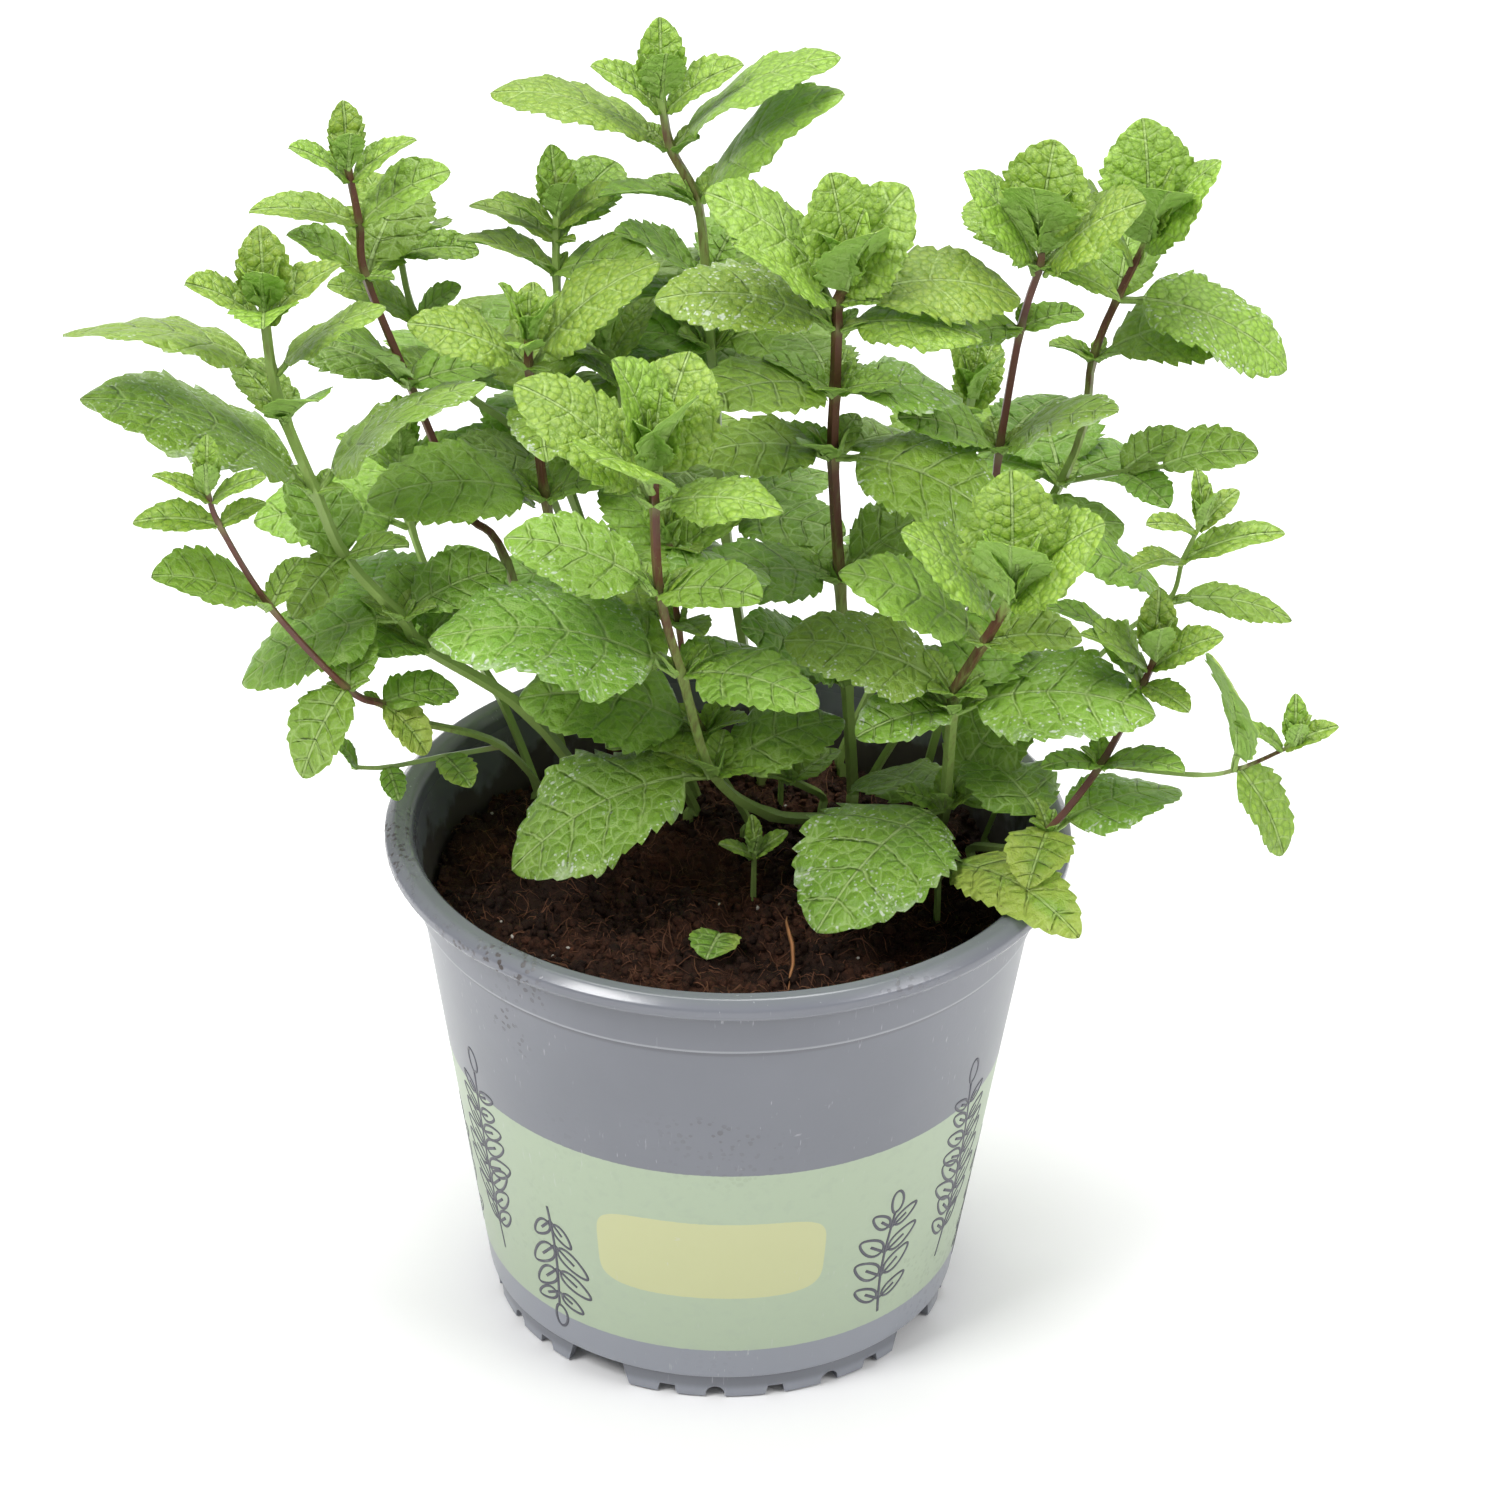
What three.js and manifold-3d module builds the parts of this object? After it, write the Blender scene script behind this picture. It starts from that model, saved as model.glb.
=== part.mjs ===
// A mint plant in a 13 cm nursery pot.
// Millimetres, +Z up, the pot's front towards -Y, its foot on the plane Z = 0.
import * as THREE from "three";
import { mergeVertices } from "three/addons/utils/BufferGeometryUtils.js";
import Module from "manifold-3d";

const wasm = await Module();
wasm.setup();

// The pot's axis, from an origin under the middle of the whole plant
const potPlace = [5, -18.5];

// Pot
const potHeight = 103;
const rimRadius = 65;
const rimOpening = 59.5;
const lipHeight = 3.8;
const collarRadius = 60.1;
const collarFoot = 88.6;
const bodyTopRadius = 58.3;
const bodyFootRadius = 45.8;
const footHeight = 5.6;
const footRadius = 44.4;
const footWall = 1.9;
const potWall = 1.3;
const potFloor = 7;
const floorUnderside = 4.8;
const potSides = 32;
const drainHoles = 6;
const drainRadius = 4;
const drainCircle = 27;
const drainSides = 6;

// Openings along the foot ring, as angles in degrees from the front towards +X
const footGapAngle = -31.5;
const footGapWidth = 14.6;
const footGapHeight = 4.7;
const notchMiddle = 13.5;
const notches = [
  { angle: -26, width: 4.4, height: 2.1, arched: false },
  { angle: -14, width: 3.7, height: 2.5, arched: true },
  { angle: 1, width: 4.4, height: 2.1, arched: false },
  { angle: 15.5, width: 3.7, height: 2.5, arched: true },
  { angle: 28, width: 4.4, height: 2.1, arched: false },
];

// Soil
const soilTop = 86;
const soilEdge = 84; // where it meets the pot's wall
const soilGap = 0.35;
const soilSides = 24;
const soilRings = [46, 30, 14];
const holeDepth = 10;
const holeRoom = 1.2;
const holeSides = 4;
const uprightTo = [2, 6]; // heights above the soil up to which a stalk is upright

// Leaves
const ribThickness = 1.3; // the blade thins from its rib to its edge
const bladeWidth = 0.69; // share of the blade's length
const petioleShare = 0.12;
const shortBlade = 20; // blades up to this long sit close on the stalk
const petioleWidth = 1.7;
const widestTooth = 1.07;
const toothNotch = 0.88;
const budWidth = 0.78;
const leafSeat = 0.25; // a leaf's start from its joint, as a share of the stalk's thickness
const endLeafSeat = -0.3; // the same where the stalk ends
const lightLean = 0.2; // rise across the blades towards the back, which turns them to the front

// Each leafy stem is a list of stalks: [thickness, heading of its bud, length of the bud's leaves, joints].
// A joint is [x, y, z, leaf, leaf...] from the pot's axis, and a first joint of [x, y] stands in the soil.
// A leaf is [heading in degrees from +X, length, rise in degrees]. Bud length 0 is a stalk with no bud.
const leafyStems = [
  [
    [2.2, 15, 16, [
      [-30, 25],
      [-43, 24, 144],
      [-51, 26, 154, [230, 13, 35], [60, 20, 20]],
      [-61, 28, 179, [220, 22, 40], [10, 19, 5]],
      [-69, 30, 200, [180, 16, 30], [70, 24, 25]],
      [-70, 31, 210, [190, 20, 10], [10, 19, 30]],
      [-72, 32, 221],
    ]],
  ],
  [
    [2.2, 130, 17, [
      [-18, 38],
      [-37, 42, 154, [95, 30, 5], [170, 20, 10]],
      [-52, 46, 169, [75, 28, 15]],
      [-61, 48, 183, [190, 18, 25], [15, 10, 35]],
      [-64, 50, 195, [235, 15, -5], [20, 15, -5]],
      [-64, 50, 199],
    ]],
  ],
  [
    [2.8, 10, 17, [
      [-22, 14],
      [-38, 8, 120],
      [-57, 1, 138, [225, 15, 15], [70, 26, 5]],
      [-61, -4, 147, [195, 31, -20], [25, 21, 15]],
      [-71, -5, 160, [230, 15, -30], [130, 19, 30], [340, 13, 20]],
      [-76, -6, 174, [185, 45, 25], [15, 36, 30]],
      [-81, -7, 189, [300, 17, 35], [135, 15, 25]],
      [-83, -7, 198, [180, 37, 10], [10, 23, 30]],
      [-84, -7, 209, [275, 19, 20]],
      [-84, -7, 211],
    ]],
  ],
  [
    [1.8, 0, 11, [
      [-32, 16],
      [-43, 6, 114],
      [-58, -6, 126],
      [-64, -12, 133, [30, 15, -5], [330, 12, -40]],
      [-70, -17, 139, [230, 18, -50], [90, 15, 25]],
      [-83, -23, 159, [190, 22, 20], [60, 11, 30]],
      [-91, -28, 178, [180, 15, 0], [30, 9, 15]],
      [-93, -28, 185],
    ]],
    [1.5, 170, 0, [
      [-43, 6, 114],
      [-54, 0, 115, [305, 10, -10]],
      [-64, -6, 116, [295, 7, -35]],
      [-70, -8, 117, [180, 7, 55]],
    ]],
  ],
  [
    [2.2, 15, 14, [
      [-8, 34],
      [-32, 34, 156, [60, 30, 0], [200, 24, 25]],
      [-33, 35, 177, [110, 30, 8], [305, 16, 0]],
      [-34, 36, 199, [185, 19, 20], [335, 20, 15]],
      [-34, 37, 205, [165, 17, 15], [60, 22, 20]],
      [-34, 38, 210],
    ]],
  ],
  [
    [2.4, 80, 13, [
      [-8, 26],
      [-30, 16, 140],
      [-35, 12, 164, [195, 33, 5], [350, 16, 25]],
      [-37, 12, 183, [280, 17, -10], [95, 25, 15]],
      [-38, 12, 191, [180, 23, 20], [20, 30, 35]],
      [-38, 12, 197],
    ]],
  ],
  [
    [2.8, 60, 24, [
      [20, 18],
      [8, 8, 99],
      [-3, -6, 116, [200, 41, -20], [35, 8, 25]],
      [-9, -16, 143, [185, 46, 10], [335, 27, 0]],
      [-13, -22, 163, [170, 29, 15], [335, 20, 10]],
      [-14, -26, 183, [160, 32, 35], [345, 23, 5]],
      [-14, -28, 191],
    ]],
  ],
  [
    [2, 120, 12, [
      [18, 27],
      [12, 16, 102, [260, 3, 50]],
      [-5, 6, 118, [180, 35, 10], [200, 19, 0]],
      [-10, 0, 145, [165, 23, -5]],
      [-11, -2, 159, [15, 17, 35], [120, 24, 15]],
      [-12, -2, 163],
    ]],
  ],
  [
    [2.8, 30, 24, [
      [24, 32],
      [22, 21, 121, [195, 25, 35]],
      [20, 16, 146, [200, 30, 5], [15, 21, 35]],
      [18, 12, 174, [195, 27, 5], [340, 34, -15]],
      [18, 10, 188, [215, 30, 10], [15, 24, -10]],
      [18, 8, 202, [185, 33, 10], [350, 26, 0]],
      [18, 8, 207, [175, 31, 40], [15, 34, -5]],
      [19, 8, 210],
    ]],
  ],
  [
    [2.8, 0, 25, [
      [41, 17],
      [41, 4, 104, [35, 28, 45], [235, 42, -10]],
      [41, -10, 133, [205, 19, -5], [350, 37, 5]],
      [41, -12, 138, [175, 32, 15], [60, 24, 15]],
      [46, -18, 152, [175, 29, 25], [355, 17, 5]],
      [50, -22, 163],
    ]],
  ],
  [
    [2.4, 345, 23, [
      [37, 28],
      [47, 20, 149, [20, 28, 5], [195, 15, 5]],
      [49, 20, 172, [335, 26, 30], [200, 22, 25]],
      [52, 22, 196, [210, 16, 0], [20, 12, 5]],
      [55, 23, 208, [0, 16, -25], [120, 23, 10]],
      [55, 24, 211],
    ]],
  ],
  [
    [2.2, 20, 24, [
      [30, 42],
      [62, 38, 156, [100, 30, 5]],
      [67, 41, 181, [10, 30, 10], [205, 10, 25]],
      [71, 42, 193, [350, 34, -20], [80, 20, 20]],
      [76, 44, 204],
    ]],
    [1.5, 0, 0, [
      [62, 38, 156],
      [73, 33, 161, [310, 13, -10], [25, 15, 20]],
      [81, 30, 164, [0, 18, 10]],
    ]],
  ],
  [
    [1.6, 30, 13, [
      [50, 16],
      [59, 10, 120, [345, 18, 25]],
      [72, 6, 140, [195, 16, 30]],
      [81, 5, 149, [190, 25, 30], [0, 23, -10]],
      [83, 4, 158, [225, 15, 10], [5, 19, 15]],
      [86, 4, 166],
    ]],
  ],
  [
    [2.2, 0, 14, [
      [47, 9],
      [55, -6, 101],
      [60, -12, 109, [255, 17, -10]],
      [69, -10, 122, [325, 18, 15], [215, 14, 15]],
      [76, -8, 138, [315, 11, -5], [165, 15, 50]],
      [78, -8, 144],
    ]],
    [1.4, 0, 11, [
      [69, -10, 122],
      [86, -13, 122],
      [94, -14, 124, [200, 26, 75], [325, 18, -55]],
      [104, -15, 130],
    ]],
  ],
  [
    [1.6, 0, 0, [
      [40, -4],
      [40, -10, 99, [310, 39, 5]],
    ]],
  ],
  [
    [2.8, 5, 19, [
      [6, 44],
      [-2, 38, 146, [120, 32, 0], [340, 24, 5]],
      [-4, 37, 172, [70, 32, 8], [185, 22, -10]],
      [-5, 38, 183, [180, 20, 5], [0, 26, 10]],
      [-6, 38, 196, [195, 21, 35], [60, 26, 10]],
      [-8, 40, 212, [0, 34, 40], [200, 19, 10]],
      [-13, 41, 222, [175, 34, 15], [5, 35, 30]],
      [-15, 42, 232],
    ]],
  ],
  [
    [2, 45, 14, [
      [3, 20],
      [-21, 24, 136, [265, 22, 5], [60, 30, 0]],
      [-22, 30, 179, [200, 14, 35], [350, 14, 10]],
      [-25, 31, 186],
    ]],
  ],
  [
    [2.4, 90, 16, [
      [-14, 48],
      [-20, 62, 118, [90, 34, -15], [190, 30, 5]],
      [-22, 70, 140, [130, 32, 5], [40, 28, 5]],
      [-22, 74, 158],
    ]],
  ],
  [
    [2.4, 60, 16, [
      [22, 44],
      [30, 51, 109],
      [38, 64, 122, [60, 34, -10], [330, 28, 0]],
      [44, 72, 140, [100, 30, 5], [10, 30, 5]],
      [46, 76, 155],
    ]],
  ],
  [
    [2.2, 10, 14, [
      [-38, 30],
      [-46, 37, 109],
      [-56, 45, 121, [150, 34, -5], [230, 22, 0]],
      [-63, 51, 137, [110, 30, 5], [190, 30, 5]],
      [-65, 54, 150],
    ]],
  ],
];

const degrees = Math.PI / 180;

function solidOf(geometry) {
  geometry.deleteAttribute("normal");
  geometry.deleteAttribute("uv");
  const merged = mergeVertices(geometry, 1e-4);
  return new wasm.Manifold(
    new wasm.Mesh({
      numProp: 3,
      vertProperties: merged.attributes.position.array,
      triVerts: new Uint32Array(merged.index.array),
    }),
  );
}

function geometryOf(solid) {
  const mesh = solid.getMesh();
  const geometry = new THREE.BufferGeometry();
  geometry.setAttribute("position", new THREE.BufferAttribute(mesh.vertProperties, 3));
  geometry.setIndex(new THREE.BufferAttribute(mesh.triVerts, 1));
  geometry.computeVertexNormals();
  return geometry;
}

function joined(solids) {
  return solids.reduce((whole, piece) => whole.add(piece));
}

// A profile of [radius, height] points turned about Z
function turned(profile, sides) {
  const points = profile.map(([radius, height]) => new THREE.Vector2(radius, height));
  return new THREE.LatheGeometry(points, sides).rotateX(90 * degrees);
}

function upright(radius, bottom, top, sides) {
  const geometry = new THREE.CylinderGeometry(radius, radius, top - bottom, sides);
  return geometry.rotateX(90 * degrees).translate(0, 0, (top + bottom) / 2);
}

// Pot

const potOutside = [
  [footRadius - footWall, floorUnderside],
  [footRadius - footWall, 0],
  [footRadius, 0],
  [footRadius + 0.2, footHeight - 0.5],
  [bodyFootRadius, footHeight],
  [bodyTopRadius, collarFoot - 0.4],
  [collarRadius - 1, collarFoot],
  [collarRadius, potHeight - lipHeight],
  [rimRadius - 0.4, potHeight - lipHeight],
  [rimRadius, potHeight - lipHeight + 0.7],
  [rimRadius, potHeight - 1.6],
  [rimRadius - 1.8, potHeight],
  [rimOpening + 1.2, potHeight - 0.2],
  [rimOpening, potHeight - 1.4],
];

const innerTop = bodyTopRadius - potWall;
const innerFoot = bodyFootRadius - potWall;

function innerRadius(height) {
  const share = (height - potFloor) / (collarFoot - potFloor);
  return innerFoot + share * (innerTop - innerFoot);
}

function footCutter({ angle, width, height, arched }) {
  const shape = new THREE.Shape();
  shape.moveTo(-width / 2, -1);
  shape.lineTo(width / 2, -1);
  if (arched) {
    shape.lineTo(width / 2, height - width / 2);
    shape.absarc(0, height - width / 2, width / 2, 0, Math.PI, false);
  } else {
    shape.lineTo(width / 2 - height * 0.35, height);
    shape.lineTo(-width / 2 + height * 0.35, height);
  }
  const settings = { depth: footWall + 4, bevelEnabled: false, curveSegments: 2 };
  const cutter = new THREE.ExtrudeGeometry(shape, settings).rotateX(90 * degrees);
  cutter.translate(0, 2 - footRadius + footWall, 0);
  return solidOf(cutter.rotateZ(angle * degrees));
}

function pot() {
  const profile = [
    [0, floorUnderside],
    ...potOutside,
    [innerTop, collarFoot - 0.8],
    [innerFoot, potFloor],
    [0, potFloor],
  ];
  let solid = solidOf(turned(profile, potSides));
  for (let quarter = 0; quarter < 4; quarter++) {
    const gap = { angle: footGapAngle, width: footGapWidth, height: footGapHeight };
    const openings = [gap, ...notches.map((n) => ({ ...n, angle: n.angle + notchMiddle }))];
    for (const opening of openings) {
      const angle = opening.angle + 90 * quarter;
      solid = solid.subtract(footCutter({ ...opening, angle }));
    }
  }
  for (let i = 0; i < drainHoles; i++) {
    const angle = (i * 360 * degrees) / drainHoles;
    const hole = upright(drainRadius, 0, potFloor + 1, drainSides);
    hole.translate(drainCircle * Math.cos(angle), drainCircle * Math.sin(angle), 0);
    solid = solid.subtract(solidOf(hole));
  }
  return solid;
}

// Soil

function soilHeight(x, y) {
  const clumps = Math.sin(x * 0.31 + 1.2) * Math.cos(y * 0.27 - 0.6) + 0.6 * Math.sin(x * 0.13 - y * 0.21);
  return soilTop + 0.9 * clumps - 0.02 * x;
}

function soil() {
  const wide = innerRadius(soilEdge) - soilGap;
  const profile = [
    [0, potFloor + soilGap],
    [innerFoot - soilGap, potFloor + soilGap],
    [wide, soilEdge],
    ...soilRings.map((radius) => [radius, soilTop]),
    [0, soilTop],
  ];
  const geometry = turned(profile, soilSides);
  const place = geometry.attributes.position;
  for (let i = 0; i < place.count; i++) {
    if (place.getZ(i) > soilEdge + 1) {
      place.setZ(i, soilHeight(place.getX(i), place.getY(i)));
    }
  }
  let solid = solidOf(geometry);
  for (const stalks of leafyStems) {
    for (const [thickness, , , joints] of stalks) {
      if (joints[0].length === 2) {
        const hole = upright(thickness + holeRoom, soilTop - holeDepth, soilTop + 5, holeSides);
        hole.translate(joints[0][0], joints[0][1], 0);
        solid = solid.subtract(solidOf(hole));
      }
    }
  }
  return solid;
}

// Leafy stems

// Half the blade's width at a share of the way from its foot to its tip, as a share of the greatest
function ovate(share) {
  return 2.343 * share ** 0.55 * (1 - share) ** 0.69;
}

// An arched, folded blade with teeth, thickest along its rib, whose petiole starts offset from the joint
function leaf(joint, offset, heading, length, rise, width = bladeWidth) {
  const teeth = length > 33 ? 4 : length > 16 ? 3 : 2;
  const arch = (20 + Math.min(length, 36)) * degrees;
  const fold = length > 22 ? -0.04 : 0.2;
  const arc = (length * arch) / 2 / Math.sin(arch / 2);
  const start = rise * degrees + arch / 2;
  const forward = new THREE.Vector3(Math.cos(heading * degrees), Math.sin(heading * degrees), 0);
  const side = new THREE.Vector3(-forward.y, forward.x, forward.x * lightLean).normalize();
  const points = [];
  const add = (along, across, above) => {
    const lean = start - arch * along;
    const out = ((Math.sin(start) - Math.sin(lean)) / arch) * arc;
    const up = ((Math.cos(lean) - Math.cos(start)) / arch) * arc;
    const course = forward.clone().multiplyScalar(Math.cos(lean));
    course.z = Math.sin(lean);
    const normal = course.cross(side).normalize();
    const point = new THREE.Vector3(...joint).addScaledVector(forward, offset + out);
    point.addScaledVector(side, across);
    point.z += up;
    points.push(point.addScaledVector(normal, fold * Math.abs(across) + above));
    return points.length - 1;
  };
  const rib = (along) => [add(along, 0, ribThickness / 2), add(along, 0, -ribThickness / 2)];
  const edges = (along, reach) => [add(along, reach, 0), add(along, -reach, 0)];
  const index = [];
  // A face on the left above, and its likenesses on the right and below
  const faceAll = (corners) => {
    const pick = (hand, level) => corners.map(([pair, isRib]) => pair[isRib ? level : hand]);
    index.push(...pick(0, 0), ...pick(1, 0).reverse(), ...pick(0, 1).reverse(), ...pick(1, 1));
  };
  const widest = (width * length) / 2;
  let from = rib(0);
  let notch = edges(0, petioleWidth / 2);
  index.push(from[0], notch[0], from[1], from[0], from[1], notch[1]);
  let to = from;
  let next = notch;
  const petiole = length > shortBlade ? petioleShare : 0;
  if (petiole > 0) {
    to = rib(petiole);
    next = edges(petiole, petioleWidth / 2);
    faceAll([[from, true], [to, true], [next, false]]);
    faceAll([[from, true], [next, false], [notch, false]]);
  }
  for (let tooth = 1; tooth <= teeth; tooth++) {
    [from, notch] = [to, next];
    const peakShare = (tooth - 0.35) / teeth;
    const notchShare = tooth / teeth;
    const alongPeak = petiole + (1 - petiole) * peakShare;
    const alongNotch = petiole + (1 - petiole) * notchShare;
    const peak = edges(alongPeak, widest * ovate(peakShare) * widestTooth);
    if (tooth < teeth) {
      to = rib(alongNotch);
      next = edges(alongNotch, widest * ovate(notchShare) * toothNotch);
      faceAll([[to, true], [next, false], [peak, false]]);
    } else {
      const tip = add(1, 0, 0);
      to = [tip, tip];
    }
    faceAll([[from, true], [peak, false], [notch, false]]);
    faceAll([[from, true], [to, true], [peak, false]]);
  }
  const geometry = new THREE.BufferGeometry().setFromPoints(points);
  geometry.setIndex(index);
  return solidOf(geometry);
}

// A smooth path whose even steps fall on its joints
class JointedPath extends THREE.CatmullRomCurve3 {
  getUtoTmapping(share) {
    return share;
  }
}

function stalkPath(joints) {
  const [foot, ...rest] = joints;
  const heights = [soilGap - holeDepth, ...uprightTo].map((height) => soilTop + height);
  const lower = foot.length === 2 ? heights.map((height) => [...foot, height]) : [foot];
  const points = [...lower, ...rest].map(([x, y, z]) => new THREE.Vector3(x, y, z));
  return new JointedPath(points, false, "catmullrom");
}

// A square stalk, as mint has
function stalk(thickness, joints) {
  const half = thickness / 2;
  const section = new THREE.Shape();
  section.moveTo(-half, -half);
  section.lineTo(half, -half);
  section.lineTo(half, half);
  section.lineTo(-half, half);
  const path = stalkPath(joints);
  const steps = path.points.length - 1;
  return solidOf(new THREE.ExtrudeGeometry(section, { steps, bevelEnabled: false, extrudePath: path }));
}

// Crossed pairs of young leaves at the end of a stalk, the lower pair a little down it
function bud(joints, thickness, heading, length) {
  const top = new THREE.Vector3(...joints.at(-1));
  const down = new THREE.Vector3(...joints.at(-2).slice(0, 3)).sub(top).normalize();
  const pairs = [
    { drop: 0.28 * length, turn: 0, size: length, rise: 42 },
    { drop: 0.5 * thickness, turn: 90, size: 0.7 * length, rise: 70 },
  ];
  return pairs.flatMap(({ drop, turn, size, rise }) => {
    const joint = top.clone().addScaledVector(down, drop).toArray();
    return [0, 180].map((opposite) =>
      leaf(joint, thickness * leafSeat, heading + turn + opposite, size, rise, budWidth),
    );
  });
}

function leafyStem(stalks) {
  const pieces = [];
  for (const [thickness, budHeading, budLength, joints] of stalks) {
    pieces.push(stalk(thickness, joints));
    joints.forEach(([x, y, z, ...leaves], step) => {
      const offset = thickness * (step < joints.length - 1 ? leafSeat : endLeafSeat);
      for (const [heading, length, rise] of leaves) {
        pieces.push(leaf([x, y, z], offset, heading, length, rise));
      }
    });
    if (budLength > 0) {
      pieces.push(...bud(joints, thickness, budHeading, budLength));
    }
  }
  return joined(pieces);
}

// The whole plant in its pot

const plant = new THREE.Group();
plant.position.set(...potPlace, 0);

function place(name, solid, color, roughness) {
  const material = new THREE.MeshStandardMaterial({ color, roughness, metalness: 0 });
  const mesh = new THREE.Mesh(geometryOf(solid), material);
  mesh.name = name;
  plant.add(mesh);
}

place("pot", pot(), 0x9aa0aa, 0.45);
place("soil", soil(), 0x3a2218, 0.95);
leafyStems.forEach((stalks, i) => {
  place(`leafy_stem_${String(i + 1).padStart(2, "0")}`, leafyStem(stalks), 0x5c8f2a, 0.5);
});

export default plant;
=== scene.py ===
# A mint plant in its nursery pot. Sizes are in millimetres from the pot's axis, unless a note says metres.
import math
import random

import bmesh
import bpy
import numpy as np
from mathutils import Matrix, Vector, noise


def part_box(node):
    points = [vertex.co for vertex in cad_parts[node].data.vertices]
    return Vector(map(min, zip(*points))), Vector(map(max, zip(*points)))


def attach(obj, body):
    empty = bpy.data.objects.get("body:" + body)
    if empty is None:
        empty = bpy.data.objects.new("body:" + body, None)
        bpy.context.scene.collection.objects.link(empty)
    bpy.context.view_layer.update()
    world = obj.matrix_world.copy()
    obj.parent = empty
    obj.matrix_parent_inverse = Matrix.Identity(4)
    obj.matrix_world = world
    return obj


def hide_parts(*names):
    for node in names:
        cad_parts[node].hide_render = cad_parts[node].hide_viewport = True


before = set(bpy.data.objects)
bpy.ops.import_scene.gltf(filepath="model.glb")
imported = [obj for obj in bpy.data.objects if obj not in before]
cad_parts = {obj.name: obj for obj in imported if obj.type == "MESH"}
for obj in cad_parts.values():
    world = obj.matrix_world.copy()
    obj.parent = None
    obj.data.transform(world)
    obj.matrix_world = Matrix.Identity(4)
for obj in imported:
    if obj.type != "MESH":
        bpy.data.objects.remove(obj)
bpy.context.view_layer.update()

mm = 0.001
potLow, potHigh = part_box("pot")
potAxis = ((potLow[0] + potHigh[0]) / 2, (potLow[1] + potHigh[1]) / 2)  # metres
rimRadius = (potHigh[0] - potLow[0]) / 2 / mm
potHeight = potHigh[2] / mm


# Shader maths

# A node's output that can stand in an expression
class Wire:
    def __init__(self, paint, socket):
        self.paint = paint
        self.socket = socket

    def math(self, operation, *values):
        return self.paint.node("ShaderNodeMath", {"operation": operation}, dict(enumerate(values)))

    def __add__(self, other):
        return self.math("ADD", self, other)

    def __radd__(self, other):
        return self.math("ADD", other, self)

    def __sub__(self, other):
        return self.math("SUBTRACT", self, other)

    def __rsub__(self, other):
        return self.math("SUBTRACT", other, self)

    def __mul__(self, other):
        return self.math("MULTIPLY", self, other)

    def __rmul__(self, other):
        return self.math("MULTIPLY", other, self)

    def __truediv__(self, other):
        return self.math("DIVIDE", self, other)

    def __pow__(self, other):
        return self.math("POWER", self, other)

    def __abs__(self):
        return self.math("ABSOLUTE", self)

    def fraction(self):
        return self.math("FRACT", self)

    def atLeast(self, other):
        return self.math("MAXIMUM", self, other)

    # From 0 at low to 1 at high, smoothly. High may be the lower number.
    def step(self, low, high):
        if low > high:
            return 1 - self.step(high, low)
        values = {"Value": self, "From Min": low, "From Max": high}
        return self.paint.node("ShaderNodeMapRange", {"interpolation_type": "SMOOTHSTEP"}, values)


# A material in the making. Its textures lie where its place says.
class Paint:
    def __init__(self, name, onObject=True):
        self.material = bpy.data.materials.new(name)
        self.material.use_nodes = True
        self.nodes = self.material.node_tree.nodes
        self.nodes.clear()
        if onObject:
            self.place = self.node("ShaderNodeTexCoord", None, None, "Object")

    def node(self, kind, settings=None, values=None, output=0):
        made = self.nodes.new(kind)
        for name, value in (settings or {}).items():
            if name == "stops":
                self.setStops(made.color_ramp, value)
            else:
                setattr(made, name, value)
        for name, value in (values or {}).items():
            if isinstance(value, Wire):
                self.material.node_tree.links.new(value.socket, made.inputs[name])
            else:
                made.inputs[name].default_value = value
        return Wire(self, made.outputs[output] if made.outputs else None)

    def setStops(self, ramp, stops):
        while len(ramp.elements) < len(stops):
            ramp.elements.new(1)
        for element, (place, color) in zip(ramp.elements, stops):
            element.position = place
            element.color = (*color, 1)

    def mix(self, share, first, second):
        colors = [c if isinstance(c, Wire) else (*c, 1) for c in (first, second)]
        return self.node("ShaderNodeMix", {"data_type": "RGBA"}, {0: share, 6: colors[0], 7: colors[1]}, 2)

    # Tints laid over a color one after another, each as its share and its color
    def coats(self, color, *tints):
        for share, tint in tints:
            color = self.mix(share, color, tint)
        return color

    def noise(self, scale, detail=3, roughness=0.5, place=None):
        values = {"Vector": place or self.place, "Scale": scale, "Detail": detail, "Roughness": roughness}
        return self.node("ShaderNodeTexNoise", None, values)

    def cells(self, scale, feature, place=None):
        values = {"Vector": place or self.place, "Scale": scale, "Randomness": 1}
        return self.node("ShaderNodeTexVoronoi", {"feature": feature}, values, "Distance")

    def vector(self, x, y, z):
        return self.node("ShaderNodeCombineXYZ", None, {0: x, 1: y, 2: z})

    # The object's place drawn out along an axis whose share is small
    def stretched(self, *shares):
        return self.node("ShaderNodeVectorMath", {"operation": "MULTIPLY"}, {0: self.place, 1: shares})

    def axes(self, vector):
        split = self.node("ShaderNodeSeparateXYZ", None, {0: vector})
        return [Wire(self, output) for output in split.socket.node.outputs]

    def attribute(self, name):
        return self.axes(self.node("ShaderNodeAttribute", {"attribute_name": name}, None, "Vector"))

    # Bumps one on another, each as its field and its height in millimetres
    def bump(self, *layers):
        values = {}
        for field, height in layers:
            values.update({"Height": field, "Distance": height * mm})
            values["Normal"] = self.node("ShaderNodeBump", None, values)
        return values["Normal"]

    def gloss(self, color, roughness, specular=0.5, normal=None):
        values = {"Base Color": color, "Roughness": roughness, "Specular IOR Level": specular}
        if normal:
            values["Normal"] = normal
        return self.node("ShaderNodeBsdfPrincipled", None, values)

    def finish(self, shader):
        self.node("ShaderNodeOutputMaterial", None, {"Surface": shader})
        return self.material


# Meshes

def addObject(name, data):
    made = bpy.data.objects.new(name, data)
    bpy.context.scene.collection.objects.link(made)
    return made


def faceOutward(mesh):
    bm = bmesh.new()
    bm.from_mesh(mesh)
    bmesh.ops.recalc_face_normals(bm, faces=bm.faces)
    bm.to_mesh(mesh)
    bm.free()


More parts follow.
